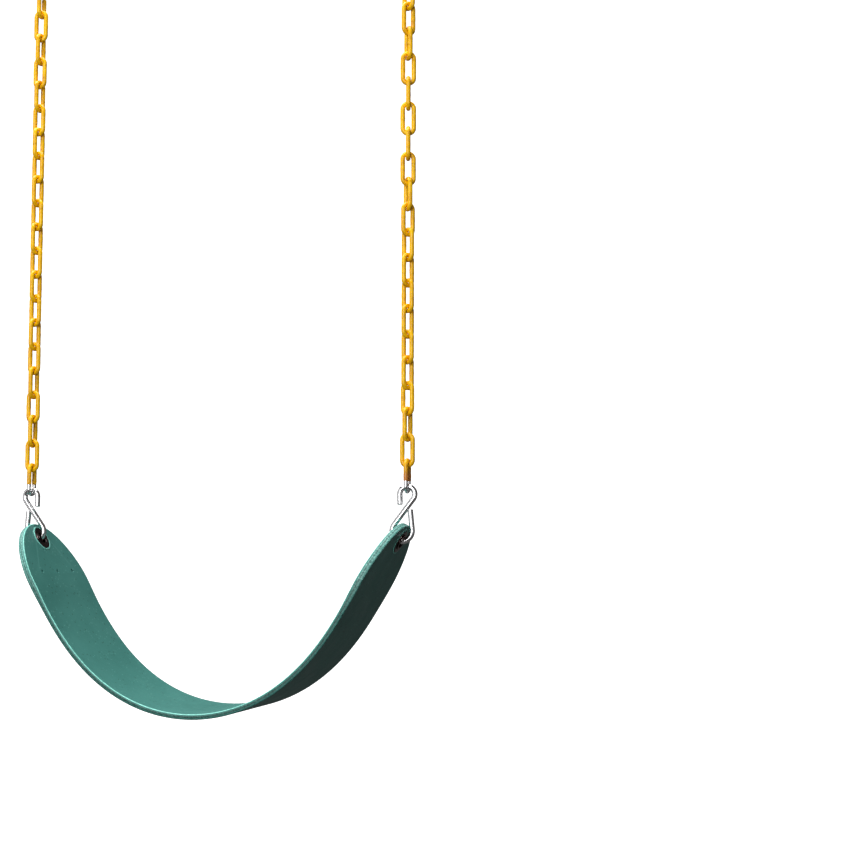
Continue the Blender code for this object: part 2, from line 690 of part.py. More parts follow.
def make_snap_hook(side, parts, cutters):
    """The wire body: boxes take its tang and its tongue down to a flat, and the tang is bored."""
    curve = wire_curve(f"snap_hook_body_{side}", snap_points(), SNAP_WIRE_DIAMETER)
    place = Matrix.Translation((SIDES[side] * CHAIN_X, 0.0, 0.0))
    body = mesh_from_curve(f"snap_hook_body_{side}", curve, parts, place)
    width = 2 * SNAP_WIRE_DIAMETER
    cheek_y = (SNAP_TONGUE_THICKNESS + SNAP_WIRE_DIAMETER) / 2
    flats = (
        ("tang", gate_matrix(side, 0.0), 2 * TANG_HEEL, 0.0),
        ("nose", nose_matrix(side), 2 * SNAP_TONGUE_LENGTH, SNAP_TONGUE_LENGTH),
    )
    for name, frame, length, height in flats:
        for hand, face in (("front", -1.0), ("back", 1.0)):
            cheek = box_mesh(f"{name}_cheek_{side}_{hand}", (width, SNAP_WIRE_DIAMETER, length))
            offset = Matrix.Translation((0.0, face * cheek_y, height))
            cut(body, add_object(cheek.name, cheek, cutters, frame @ offset))
    hole = cylinder_mesh(f"tang_hole_{side}", RIVET_RADIUS + GAP, width, HOLE_SIDES)
    cut(body, add_object(hole.name, hole, cutters, rivet_matrix(side)))
    give_material(body, "zinc_steel")


def make_gate(side, parts, cutters):
    """The gate is forked over the hook's tang, bored for its spring and slotted at the nose."""
    length = gate_length()
    mesh = cylinder_mesh(f"snap_hook_gate_{side}", GATE_DIAMETER / 2, length + GATE_HEEL, GATE_SIDES)
    mesh.transform(Matrix.Translation((0.0, 0.0, (length - GATE_HEEL) / 2)))
    shade(mesh)
    gate = add_object(mesh.name, mesh, parts, gate_matrix(side, 0.0))
    for name, along in (("gate_fork", 0.0), ("gate_catch", length)):
        slot = box_mesh(f"{name}_{side}", (2 * GATE_DIAMETER, SLOT_THICKNESS, 2 * SLOT_DEPTH))
        cut(gate, add_object(slot.name, slot, cutters, gate_matrix(side, along)))
    bore = cylinder_mesh(f"gate_bore_{side}", GATE_BORE_RADIUS, GATE_BORE_DEPTH, HOLE_SIDES)
    bore_place = gate_matrix(side, SLOT_DEPTH + GATE_BORE_DEPTH / 2 - GAP)
    cut(gate, add_object(bore.name, bore, cutters, bore_place))
    hole = cylinder_mesh(f"gate_hole_{side}", RIVET_RADIUS + GAP, 2 * GATE_DIAMETER, HOLE_SIDES)
    cut(gate, add_object(hole.name, hole, cutters, rivet_matrix(side)))
    give_material(gate, "zinc_steel")


def make_rivet(side, parts):
    half = GATE_DIAMETER / 2 + GAP / 2
    head = half + RIVET_HEAD_THICKNESS
    rim = RIVET_HEAD_RADIUS * 0.7
    upper = [(0.0, head), (rim, head), (RIVET_HEAD_RADIUS, half), (RIVET_RADIUS, half)]
    profile = upper + [(radius, -height) for radius, height in reversed(upper)]
    rivet = turned_object(f"gate_rivet_{side}", profile, parts, rivet_matrix(side), RIVET_STEPS)
    give_material(rivet, "zinc_steel")


def make_spring(side, parts):
    """The gate's spring, a coil in the gate's bore that pushes on the head of the tang."""
    coil_radius = GATE_BORE_RADIUS - GAP - SPRING_WIRE_DIAMETER / 2
    length = GATE_BORE_DEPTH - 4 * GAP - SPRING_WIRE_DIAMETER
    steps = 8 * SPRING_TURNS
    points = []
    for i in range(steps + 1):
        angle = 2 * math.pi * SPRING_TURNS * i / steps
        points.append((coil_radius * math.cos(angle), coil_radius * math.sin(angle), length * i / steps))
    curve = wire_curve(f"gate_spring_{side}", points, SPRING_WIRE_DIAMETER)
    curve.bevel_resolution = 1
    place = gate_matrix(side, SLOT_DEPTH + SPRING_WIRE_DIAMETER / 2 + GAP)
    give_material(mesh_from_curve(f"gate_spring_{side}", curve, parts, place), "spring_steel")


# ---- assembly ------------------------------------------------------------------------------------------
def main():
    clear_scene()
    parts = new_collection("belt_swing_seat")
    cutters = new_collection("cutters")
    make_belt(parts, cutters)
    hang_on_snap = TOP_WIRE_Z - SNAP_WIRE_Z
    curves = {
        "top": link_curve("chain_link_top", "top", hang_on_snap),
        "middle": link_curve("chain_link"),
        "bottom": link_curve("chain_link_bottom", "bottom"),
    }
    for side in SIDES:
        make_insert(side, parts)
        make_grommet(side, parts)
        make_s_hook(side, parts)
        make_chain(side, curves, parts)
        make_snap_hook(side, parts, cutters)
        make_gate(side, parts, cutters)
        make_rivet(side, parts)
        make_spring(side, parts)


main()
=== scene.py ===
"""Looks of the belt swing seat: fine meshes and materials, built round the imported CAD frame.

Units are metres. +X runs along the beam, +Y is the way that the seat swings, and +Z is up.
"""
from math import acos, asin, atan2, cos, exp, hypot, pi, radians, sin, sqrt

import bmesh
import bpy
import numpy as np
from mathutils import Matrix, Vector


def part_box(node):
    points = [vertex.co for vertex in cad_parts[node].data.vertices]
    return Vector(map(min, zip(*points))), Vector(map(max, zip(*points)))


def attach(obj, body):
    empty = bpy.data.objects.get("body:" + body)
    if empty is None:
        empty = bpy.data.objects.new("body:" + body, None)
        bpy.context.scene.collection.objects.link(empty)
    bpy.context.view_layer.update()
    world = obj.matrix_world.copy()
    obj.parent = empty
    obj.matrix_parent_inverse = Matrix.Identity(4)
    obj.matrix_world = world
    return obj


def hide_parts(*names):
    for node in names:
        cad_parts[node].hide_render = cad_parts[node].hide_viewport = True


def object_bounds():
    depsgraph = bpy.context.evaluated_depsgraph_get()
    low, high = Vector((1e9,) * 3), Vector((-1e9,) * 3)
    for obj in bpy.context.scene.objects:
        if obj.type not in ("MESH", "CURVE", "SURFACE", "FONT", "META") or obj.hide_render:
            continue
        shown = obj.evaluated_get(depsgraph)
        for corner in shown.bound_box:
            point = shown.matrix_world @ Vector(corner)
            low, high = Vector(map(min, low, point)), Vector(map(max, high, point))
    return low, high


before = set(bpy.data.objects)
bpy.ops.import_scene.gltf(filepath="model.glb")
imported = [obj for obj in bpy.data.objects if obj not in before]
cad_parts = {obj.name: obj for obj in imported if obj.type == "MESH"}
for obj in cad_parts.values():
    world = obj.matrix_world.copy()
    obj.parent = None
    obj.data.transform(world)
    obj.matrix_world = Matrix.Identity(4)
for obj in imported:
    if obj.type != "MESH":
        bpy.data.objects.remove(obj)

CAD_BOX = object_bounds()
SIDES = {"left": -1.0, "right": 1.0}

# ---- camera ----------------------------------------------------------
CAMERA_PLACE = (0.7276, -1.7844, -0.7660)
CAMERA_YAW = -0.25615      # radians, from +Y towards +X
CAMERA_PITCH = 0.07759
CAMERA_ROLL = 0.00183
CAMERA_LENS = 67.94        # millimetres, on a sensor 36 mm wide

# ---- belt ------------------------------------------------------------
BELT_LENGTH = 0.685
BELT_WIDTH = 0.140
BELT_THICKNESS = 0.0064
BELT_END_THICKNESS = 0.0080
BELT_END_ANGLE = radians(61.0)
BELT_FLAT_END = 0.075
BELT_BEND_POWER = 2.5
BELT_NOSE_LENGTH = 0.075
BELT_NOSE_POWER = 1.7
BELT_EDGE_RADIUS = 0.0015
THICKENING_START = 0.120
THICKENING_END = 0.080
BELT_COLUMNS = 300
BELT_ROWS = 60
CORNER_TURN = radians(42.0)     # where on the nose the grid's sides meet its ends
EDGE_STEPS = 5
WALL_STEPS = 4
PARTING_RIDGE = 0.00018
BEAD_HIGHLIGHT_SHARE = 0.85          # how much of the rounding, from the face outwards, gets the painted highlight
TIP_PALE_FROM = 0.120      # from the tip: here the painted light on the wall begins
TIP_PALE_TO = 0.045        # and here the painted light is at its strongest
FAR_BEAD_HIGHLIGHT = 0.30            # how strong the painted highlight on the rounding is on the far side, against the near side

# ---- grommets, insert plates and pin holes ---------------------------
GROMMET_FROM_TIP = 0.0205
GROMMET_BORE_RADIUS = 0.00675
GROMMET_WALL = 0.0010
GROMMET_FLANGE_RADIUS = 0.0135
GROMMET_FLANGE_THICKNESS = 0.0010
GROMMET_LIP_REACH = 0.0018
GROMMET_MOUTH_RADIUS = 0.0009
FLANGE_DISH = 0.00022      # shallow groove between the flange's edge and its crown
FLANGE_EDGE_SHARE = 0.30   # radius of the flange's edge, as a share of its thickness
LIP_ROLL_SHARE = 0.45      # radius of the lip's edge, as a share of the wall
TURNED_SIDES = 96
MOULDED_RING_RADIUS = 0.0149
MOULDED_RING_WIDTH = 0.0021
MOULDED_RING_HEIGHT = 0.00075
MOULDED_RING_SINK = 0.0005
MOULDED_RING_HIGHLIGHT = 0.75   # how much of the rounding's painted highlight the rings get
INSERT_THICKNESS = 0.0015
INSERT_NECK_RADIUS = 0.0125
INSERT_CORNER_RADIUS = 0.006
INSERT_CORNER_FROM_TIP = 0.066
INSERT_CORNER_SPREAD = 0.038
INSERT_ARC_STEPS = 24
IMPRINT_HEIGHT = 0.00016
IMPRINT_RAMP = 0.0022
IMPRINT_LINE = 0.0010      # half the width of the line that it leaves
PIN_HOLE_RADIUS = 0.0017
PIN_MOUTH_RADIUS = 0.0024
PIN_MOUTH_DEPTH = 0.0016
PIN_HOLE_SPACING = 0.038
PIN_HOLE_SIDES = 28
BORE_SIDES = 64
CUTTER_RISE = 0.004        # how far a pin hole's cutter stands over the seat face
GAP = 0.0003

# ---- S-hooks ---------------------------------------------------------
S_WIRE_DIAMETER = 0.0065
S_UPPER_RADIUS = 0.009
S_LOWER_RADIUS = 0.012
S_CENTRE_DISTANCE = 0.0425
S_LOWER_INSET = 0.006
S_UPPER_LEG = 0.0118
S_LOWER_LEG = 0.0234
S_UPPER_LEG_LEAN = radians(2.0)
S_LOWER_LEG_LEAN = radians(6.0)
S_TURN = {"left": radians(6.0), "right": 0.0}
S_END_ROUNDING = 0.0009
S_HOOK_SIDES = 28

# ---- chain -----------------------------------------------------------
LINK_COUNT = 21
LINK_STEEL_DIAMETER = 0.0048
LINK_BARE_LENGTH = 0.012
LINK_ARC_STEPS = 22
LINK_SIDE_STEPS = 12
LINK_SIDES = 18
WELD_SWELL = 0.055         # this and the next two: shares of the coat's radius
COAT_SHRINK = 0.012
COAT_RIPPLES = ((0.016, 700.0, 1.0), (0.010, 1700.0, 2.3))    # share, radians a metre, phases
WELD_HALF_LENGTH = 0.0024
PHASE_STEP = 1.7           # radians from one link to the next
PHASE_START = {"left": 0.9, "right": 0.0}
SLEEVE_TAPER = 0.0012      # the coat's last stretch on an end link, and its radii there as shares
SLEEVE_SHARES = {0: 0.845, 1: 0.93, -1: 0.845, -2: 0.93}
WORN_LENGTH = 0.009        # over which the wear fades, after 0.8 of it in full
THIN_COAT = {"left": 0.25, "right": 1.0}    # how worn the coat is above each S-hook
THIN_COAT_AT_TOP = 0.2

# ---- snap hooks ------------------------------------------------------
SNAP_WIRE_DIAMETER = 0.007
SNAP_EYE_RADIUS = 0.0095
SNAP_LOOP_RADIUS = 0.015
SNAP_CENTRE_DISTANCE = 0.0485
SNAP_LEG_ANGLE = radians(11.6)
SNAP_WAIST_RADIUS = 0.005
SNAP_NOSE_ANGLE = radians(217.0)
SNAP_TONGUE_LENGTH = 0.0028
SNAP_TONGUE_THICKNESS = 0.0026
GATE_DIAMETER = 0.0064
GATE_PIVOT_HEIGHT = 0.0085
GATE_HEEL = 0.0030
TANG_HEEL = 0.0042
TANG_HEAD = 0.0030
SLOT_DEPTH = 0.0043
SLOT_THICKNESS = 0.0034
GATE_BORE_RADIUS = 0.0021
GATE_BORE_DEPTH = 0.012
GATE_NOSE_GAP = 0.0009
SNAP_EDGE_ROUNDING = 0.00025
GATE_EDGE_ROUNDING = 0.00022
SNAP_SIDES = 32
GATE_SIDES = 48
RIVET_RADIUS = 0.0012
RIVET_HEAD_RADIUS = 0.0022
RIVET_HEAD_THICKNESS = 0.0007
RIVET_SIDES = 36
SPRING_WIRE_DIAMETER = 0.0006
SPRING_TURNS = 5
SPRING_TURN_STEPS = 24
SPRING_SIDES = 10

# ---- shading ---------------------------------------------------------
SHARP_ANGLE = radians(40.0)          # edges sharper than this stay sharp in the shading
BEVEL_ANGLE = radians(35.0)
SHARP_ANGLE_BEVELLED = radians(50.0)
SHARP_ANGLE_BELT = radians(45.0)


# ---- mesh helpers ----------------------------------------------------
def add_object(name, data):
    obj = bpy.data.objects.new(name, data)
    bpy.context.scene.collection.objects.link(obj)
    return obj


def add_mesh(name, vertices, faces):
    mesh = bpy.data.meshes.new(name)
    mesh.from_pydata([tuple(v) for v in vertices], [], faces)
    mesh.validate()
    mesh.shade_smooth()
    mesh.set_sharp_from_angle(angle=SHARP_ANGLE)
    return add_object(name, mesh)


def transform(obj, matrix):
    obj.data.transform(matrix)
    if matrix.determinant() < 0.0:
        obj.data.flip_normals()
    return obj


def join(name, objects):
    """One mesh out of several closed ones that don't touch."""
    bm = bmesh.new()
    for obj in objects:
        bm.from_mesh(obj.data)
        bpy.data.objects.remove(obj, do_unlink=True)
    mesh = bpy.data.meshes.new(name)
    bm.to_mesh(mesh)
    bm.free()
    return add_object(name, mesh)


def cut(obj, cutter):
    """Subtract a cutter now, and remove it."""
    boolean = obj.modifiers.new("cut", "BOOLEAN")
    boolean.operation = "DIFFERENCE"
    boolean.solver = "EXACT"
    boolean.object = cutter
    apply_modifiers(obj)
    bpy.data.objects.remove(cutter, do_unlink=True)


def apply_modifiers(obj):
    bpy.context.view_layer.update()
    graph = bpy.context.evaluated_depsgraph_get()
    mesh = bpy.data.meshes.new_from_object(obj.evaluated_get(graph), depsgraph=graph)
    obj.modifiers.clear()
    obj.data = mesh


def soften_edges(obj, width):
    """Round a piece's sharp edges, and shade it smooth."""
    bevel = obj.modifiers.new("soft edges", "BEVEL")
    bevel.width = width
    bevel.segments = 3
    bevel.limit_method = "ANGLE"
    bevel.angle_limit = BEVEL_ANGLE
    bevel.harden_normals = False
    apply_modifiers(obj)
    obj.data.shade_smooth()
    obj.data.set_sharp_from_angle(angle=SHARP_ANGLE_BEVELLED)


def arc(centre, radius, start, end, steps):
    points = []
    for i in range(steps + 1):
        angle = start + (end - start) * i / steps
        points.append((centre[0] + radius * cos(angle), centre[1] + radius * sin(angle)))
    return points


def straight(start, end, steps):
    return [
        (start[0] + (end[0] - start[0]) * i / steps, start[1] + (end[1] - start[1]) * i / steps)
        for i in range(steps + 1)
    ]


def upright(line, shift=0.0):
    """3D points, in the plane of the chains, of a line of (x, z) points."""
    return [(x + shift, 0.0, z) for x, z in line]


def circle(radius, height, sides):
    turns = [2 * pi * k / sides for k in range(sides)]
    return [(radius * cos(turn), radius * sin(turn), height) for turn in turns]


def rings_to_faces(ring_count, sides, closed=False):
    """Faces between rings of vertices. The last ring meets the first if it is closed."""
    faces = []
    for i in range(ring_count if closed else ring_count - 1):
        j = (i + 1) % ring_count
        for k in range(sides):
            m = (k + 1) % sides
            faces.append((i * sides + k, i * sides + m, j * sides + m, j * sides + k))
    return faces


def tube(name, points, radii, sides, closed=False, across=(0.0, 1.0, 0.0), rounding=0.0):
    """A round tube along 3D points, of one radius or of one at each point. Its open ends are capped."""
    line = [Vector(p) for p in points]
    if isinstance(radii, float):
        radii = [radii] * len(line)
    if rounding:
        line, radii = round_ends(line, radii, rounding)
    count = len(line)
    across = Vector(across)
    vertices = []
    for i, point in enumerate(line):
        before = line[i - 1] if closed or i > 0 else line[i]
        after = line[(i + 1) % count] if closed or i < count - 1 else line[i]
        tangent = (after - before).normalized()
        normal = across.cross(tangent).normalized()
        binormal = tangent.cross(normal)
        for k in range(sides):
            angle = 2 * pi * k / sides
            spoke = normal * cos(angle) + binormal * sin(angle)
            vertices.append(point + spoke * radii[i])
    return add_mesh(name, vertices, rings_to_faces(count, sides, True) if closed else capped(count, sides))


def round_ends(line, radii, size):
    """Round both ends of a wire over a short length, in three steps: one end, then the other."""
    turns = [radians(angle) for angle in (0.0, 30.0, 60.0, 90.0)]
    for _ in range(2):
        tip, radius = line[-1], radii[-1]
        outward = (tip - line[-2]).normalized()
        line = line[:-1] + [tip - outward * (size * (1.0 - sin(turn))) for turn in turns]
        radii = radii[:-1] + [radius - size * (1.0 - cos(turn)) for turn in turns]
        line, radii = line[::-1], radii[::-1]
    return line, radii


def turned(name, profile, sides, closed=True):
    """A turned piece about Z: a profile of (radius, height) points, anticlockwise if it is closed.

    An open profile starts and ends on the axis.
    """
    inner = profile if closed else profile[1:-1]
    count = len(inner)
    vertices = [point for radius, height in inner for point in circle(radius, height, sides)]
    faces = rings_to_faces(count, sides, closed)
    if not closed:
        first = len(vertices)
        vertices.append((0.0, 0.0, profile[0][1]))
        vertices.append((0.0, 0.0, profile[-1][1]))
        for k in range(sides):
            m = (k + 1) % sides
            faces.append((first, m, k))
            faces.append((first + 1, (count - 1) * sides + k, (count - 1) * sides + m))
    return add_mesh(name, vertices, faces)


def box_between(name, low, high):
    xs, ys, zs = zip(low, high)
    vertices = [(x, y, z) for x in xs for y in ys for z in zs]
    faces = [(0, 1, 3, 2), (4, 6, 7, 5), (0, 4, 5, 1), (2, 3, 7, 6), (0, 2, 6, 4), (1, 5, 7, 3)]
    return add_mesh(name, vertices, faces)


def capped(ring_count, sides):
    """Faces between rings of vertices, and over both ends."""
    faces = rings_to_faces(ring_count, sides)
    faces.append(tuple(reversed(range(sides))))
    faces.append(tuple(range((ring_count - 1) * sides, ring_count * sides)))
    return faces


def rod(name, radius, low, high, sides=32):
    """A closed cylinder about Z from one height to another."""
    return add_mesh(name, circle(radius, low, sides) + circle(radius, high, sides), capped(2, sides))


def set_attribute(obj, name, values):
    """A number for each vertex, or one for all, which a material reads by its name."""
    layer = obj.data.attributes.new(name, "FLOAT", "POINT")
    layer.data.foreach_set("value", np.broadcast_to(values, len(layer.data)).astype(np.float32))


def dress(obj, material):
    obj.data.materials.clear()
    obj.data.materials.append(material)


def finish_piece(obj, body, material, slot, *nodes):
    """Give a piece its material, and hang it on its CAD body in place of its CAD nodes."""
    dress(obj, material)
    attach(obj, body)
    if nodes:
        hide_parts(*nodes)


# ---- materials -------------------------------------------------------
class Nodes:
    """A short way to build a node material round a Principled shader."""

    def __init__(self, name):
        self.material = bpy.data.materials.new(name)
        self.material.use_nodes = True
        self.tree = self.material.node_tree
        self.shader = self.tree.nodes["Principled BSDF"]
        self.place = self.add("ShaderNodeTexCoord").outputs["Object"]

    def add(self, kind, inputs=None, **settings):
        node = self.tree.nodes.new(kind)
        for key, value in settings.items():
            setattr(node, key, value)
        for key, value in (inputs or {}).items():
            self.feed(node.inputs[key], value)
        return node

    def feed(self, socket, value):
        if isinstance(value, bpy.types.NodeSocket):
            self.tree.links.new(value, socket)
        else:
            socket.default_value = value

    def attribute(self, name):
        return self.add("ShaderNodeAttribute", attribute_name=name).outputs["Fac"]

    def noise(self, scale, detail, roughness=0.5):
        inputs = {"Vector": self.place, "Scale": scale, "Detail": detail, "Roughness": roughness}
        return self.add("ShaderNodeTexNoise", inputs).outputs["Fac"]

    def spread(self, value, low, high, to_low=0.0, to_high=1.0):
        inputs = {"Value": value, "From Min": low, "From Max": high}
        inputs.update({"To Min": to_low, "To Max": to_high})
        return self.add("ShaderNodeMapRange", inputs, clamp=True).outputs["Result"]

    def mix(self, share, first, second):
        """Two colours mixed: sockets 0, 6 and 7 are the share and the colours, and 2 is the result."""
        inputs = {0: share, 6: first, 7: second}
        return self.add("ShaderNodeMix", inputs, data_type="RGBA", blend_type="MIX").outputs[2]

    def tint(self, base, mask, strength, shade):
        return self.mix(self.maths("MULTIPLY", mask, strength), base, shade)

    def maths(self, operation, first, second=0.0):
        return self.add("ShaderNodeMath", {0: first, 1: second}, operation=operation).outputs[0]

    def bump(self, height, distance, strength):
        inputs = {"Height": height, "Distance": distance, "Strength": strength}
        return self.add("ShaderNodeBump", inputs).outputs["Normal"]

    def dots(self, scale, radius, rarity):
        """Sparse round dots: one in some of the cells of a Voronoi pattern."""
        cells = self.add("ShaderNodeTexVoronoi", {"Vector": self.place, "Scale": scale})
        near = self.maths("SUBTRACT", 1.0, self.spread(cells.outputs["Distance"], radius * 0.6, radius))
        chosen = self.maths("GREATER_THAN", cells.outputs["Color"], rarity)
        return self.maths("MULTIPLY", near, chosen)

    def principled(self, **inputs):
        for key, value in inputs.items():
            self.feed(self.shader.inputs[key.replace("_", " ")], value)
        return self.material


def colour(red, green, blue):
    return (red, green, blue, 1.0)


def belt_material():
    """Moulded green rubber: fine grain, flow clouds, sparse specks, a painted highlight on the rounded edge
    and a mottled wall, paler towards the tips as painted light.
    """
    n = Nodes("green_rubber")
    clouds = n.spread(n.noise(14.0, 4.0), 0.35, 0.65)
    base = n.mix(clouds, colour(0.043, 0.196, 0.170), colour(0.057, 0.230, 0.201))
    base = n.tint(base, n.dots(280.0, 0.27, 0.68), 0.45, colour(0.24, 0.55, 0.49))
    base = n.tint(base, n.dots(210.0, 0.26, 0.68), 0.75, colour(0.010, 0.065, 0.056))
    dust = n.spread(n.noise(620.0, 3.0, 0.7), 0.58, 0.72)
    base = n.tint(base, dust, 0.16, colour(0.14, 0.36, 0.32))
    off_line = n.spread(n.maths("ABSOLUTE", n.attribute("imprint")), 0.0002, IMPRINT_LINE)
    line = n.maths("SUBTRACT", 1.0, off_line)
    at_tip = n.attribute("tip")
    line = n.maths("MULTIPLY", line, n.spread(at_tip, 0.80, 0.98))
    base = n.tint(base, line, 0.40, colour(0.13, 0.36, 0.32))
    rim = n.attribute("rim")
    mottle = n.spread(n.noise(480.0, 4.0, 0.7), 0.38, 0.64)
    # Towards each tip the wall turns paler: painted light.
    dark_wall = n.mix(at_tip, colour(0.012, 0.075, 0.062), colour(0.040, 0.190, 0.160))
    pale_wall = n.mix(at_tip, colour(0.060, 0.230, 0.195), colour(0.330, 0.720, 0.640))
    base = n.mix(rim, base, n.mix(mottle, dark_wall, pale_wall))
    base = n.tint(base, n.attribute("parting"), 0.75, colour(0.008, 0.050, 0.042))
    # Painted highlight: the rounded edge between face and wall gets pale colours in place of the light that
    # it catches, and the noise only varies that painted highlight.
    bead_highlight = n.attribute("bead_highlight")
    wear_and_highlight_mask = n.spread(n.noise(260.0, 3.0), 0.35, 0.6)
    worn_and_highlight = n.mix(wear_and_highlight_mask, colour(0.190, 0.560, 0.470), colour(0.280, 0.760, 0.660))
    base = n.mix(bead_highlight, base, worn_and_highlight)
    grain = n.noise(1500.0, 3.0, 0.6)
    height = n.maths("ADD", grain, n.maths("MULTIPLY", n.noise(60.0, 2.0), 1.4))
    height = n.maths("ADD", height, n.maths("MULTIPLY", n.maths("MULTIPLY", rim, mottle), 2.5))
    height = n.maths("ADD", height, n.maths("MULTIPLY", line, 0.9))
    rough = n.spread(n.noise(45.0, 3.0), 0.3, 0.7, 0.42, 0.52)
    return n.principled(
        Base_Color=base,
        Roughness=n.maths("SUBTRACT", rough, n.maths("MULTIPLY", rim, 0.10)),
        Normal=n.bump(height, 0.00010, 0.6),
        Specular_IOR_Level=0.42,
    )


def coating_material():
    """Glossy yellow dip coating, a little uneven, and brown where it thins out at an edge."""
    n = Nodes("yellow_coating")
    clouds = n.spread(n.noise(70.0, 3.0), 0.3, 0.7)
    base = n.mix(clouds, colour(0.860, 0.430, 0.002), colour(1.000, 0.580, 0.004))
    pooled = n.spread(n.noise(150.0, 4.0, 0.6), 0.52, 0.68)
    base = n.tint(base, pooled, 0.55, colour(0.560, 0.210, 0.001))
    base = n.mix(n.attribute("thin"), base, colour(0.56, 0.205, 0.034))
    base = n.tint(base, n.dots(240.0, 0.14, 0.60), 0.6, colour(0.33, 0.13, 0.005))
    peel = n.noise(260.0, 2.0)
    height = n.maths("ADD", peel, n.maths("MULTIPLY", n.noise(90.0, 2.0), 3.0))
    return n.principled(
        Base_Color=base,
        Roughness=n.spread(n.noise(160.0, 3.0), 0.3, 0.7, 0.22, 0.34),
        Normal=n.bump(height, 0.00008, 0.35),
        Specular_IOR_Level=0.25,
        Coat_Weight=0.15,
        Coat_Roughness=0.05,
    )


def metal(n, base, rough, bump):
    return n.principled(Base_Color=base, Metallic=1.0, Roughness=rough, Normal=bump)


def zinc_material():
    """Bright zinc plate on drawn wire: small changes in gloss, and fine dull specks."""
    n = Nodes("zinc_steel")
    clouds = n.spread(n.noise(90.0, 4.0), 0.35, 0.65)
    base = n.mix(clouds, colour(0.80, 0.81, 0.83), colour(0.90, 0.90, 0.91))
    specks = n.spread(n.noise(1100.0, 2.0, 0.6), 0.68, 0.78)
    base = n.tint(base, specks, 0.5, colour(0.42, 0.42, 0.44))
    rough = n.spread(n.noise(260.0, 4.0, 0.6), 0.3, 0.7, 0.12, 0.24)
    return metal(n, base, rough, n.bump(n.noise(380.0, 3.0), 0.00006, 0.5))


def bronze_material():
    """Dark plated brass: near black, with brown clouds and bright wear."""
    n = Nodes("dark_bronze")
    clouds = n.spread(n.noise(160.0, 3.0), 0.42, 0.62)
    base = n.mix(clouds, colour(0.030, 0.027, 0.029), colour(0.120, 0.060, 0.052))
    wear_and_highlight_mask = n.spread(n.noise(520.0, 4.0, 0.7), 0.62, 0.76)
    base = n.tint(base, wear_and_highlight_mask, 0.35, colour(0.36, 0.29, 0.27))
    rough = n.spread(n.noise(240.0, 3.0), 0.3, 0.7, 0.10, 0.24)
    return metal(n, base, rough, n.bump(n.noise(420.0, 3.0), 0.00008, 0.5))


def drawn_steel_material(name, shade, roughness):
    """Dull steel with fine drawing marks."""
    n = Nodes(name)
    marks = n.spread(n.noise(800.0, 3.0), 0.3, 0.7)
    pale = shade * 1.3
    base = n.mix(marks, colour(shade, shade, shade * 1.03), colour(pale, pale, shade * 1.32))
    rough = n.spread(marks, 0.0, 1.0, roughness, roughness + 0.12)
    return metal(n, base, rough, n.bump(marks, 0.00003, 0.4))


RUBBER = belt_material()
COATING = coating_material()
ZINC = zinc_material()
BRONZE = bronze_material()
INSERT_STEEL = drawn_steel_material("insert_steel", 0.035, 0.55)
SPRING_STEEL = drawn_steel_material("spring_steel", 0.45, 0.25)


# ---- belt: its curve and its outline ---------------------------------
BENT_LENGTH = BELT_LENGTH / 2 - BELT_FLAT_END
CURVE_S = np.linspace(0.0, BELT_LENGTH / 2, 1401)


def belt_slope(s):
    power = BELT_BEND_POWER
    curvature = BELT_END_ANGLE / (BENT_LENGTH * power / (power + 1.0))
    run = np.minimum(np.abs(s), BENT_LENGTH)
    bent = run - run ** (power + 1.0) / ((power + 1.0) * BENT_LENGTH ** power)
    return np.sign(s) * curvature * bent


MID_SLOPES = belt_slope((CURVE_S[1:] + CURVE_S[:-1]) / 2)
CURVE_X = np.concatenate([[0.0], np.cumsum(np.cos(MID_SLOPES) * np.diff(CURVE_S))])
CURVE_Z = np.concatenate([[0.0], np.cumsum(np.sin(MID_SLOPES) * np.diff(CURVE_S))])
BELT_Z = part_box("seat_belt")[0].z + BELT_THICKNESS / 2


def bend(flat, height):
    """Points (along, across) of the flat belt, raised by a height off its middle, once it hangs."""
    s = flat[:, 0]
    slope = belt_slope(s)
    x = np.sign(s) * np.interp(np.abs(s), CURVE_S, CURVE_X) - np.sin(slope) * height
    z = BELT_Z + np.interp(np.abs(s), CURVE_S, CURVE_Z) + np.cos(slope) * height
    return np.stack([x, flat[:, 1], z], axis=1)


def unit(vectors):
    return vectors / np.hypot(*vectors.T)[:, None]


def beside(line, tangents, distance):
    """A line moved to its right by a distance."""
    return line + np.stack([tangents[:, 1], -tangents[:, 0]], axis=1) * distance


def smooth_step(value):
    t = np.clip(value, 0.0, 1.0)
    return t * t * (3.0 - 2.0 * t)


def belt_thickness(s):
    from_tip = BELT_LENGTH / 2 - np.abs(s)
    share = smooth_step((THICKENING_START - from_tip) / (THICKENING_START - THICKENING_END))
    return BELT_THICKNESS + (BELT_END_THICKNESS - BELT_THICKNESS) * share


def nose_points(turns):
    """Outline of one nose at these turns: 0 where it begins, a quarter turn at the tip."""
    inward = np.sin(turns)
    along = BELT_LENGTH / 2 - BELT_NOSE_LENGTH * (1.0 - inward)
    across = BELT_WIDTH / 2 * np.sqrt(np.maximum(1.0 - inward ** BELT_NOSE_POWER, 0.0))
    return np.stack([along, across], axis=1)


def resample(line, count):
    """Points evenly spaced along a line, both ends included."""
    lengths = np.concatenate([[0.0], np.cumsum(np.hypot(*np.diff(line, axis=0).T))])
    at = np.linspace(0.0, lengths[-1], count)
    return np.stack([np.interp(at, lengths, line[:, 0]), np.interp(at, lengths, line[:, 1])], axis=1)


def outline_sides():
    """The outline in four lines, with the belt on their right: far side, right end, near side, left end."""
    run = nose_points(np.linspace(0.0, CORNER_TURN, 400))
    tip = nose_points(np.linspace(CORNER_TURN, pi / 2, 800))
    far = np.concatenate([run[::-1] * (-1, 1), run])
    right = np.concatenate([tip, tip[-2::-1] * (1, -1)])
    return far, right, far[::-1] * (1, -1), right[::-1] * (-1, 1)


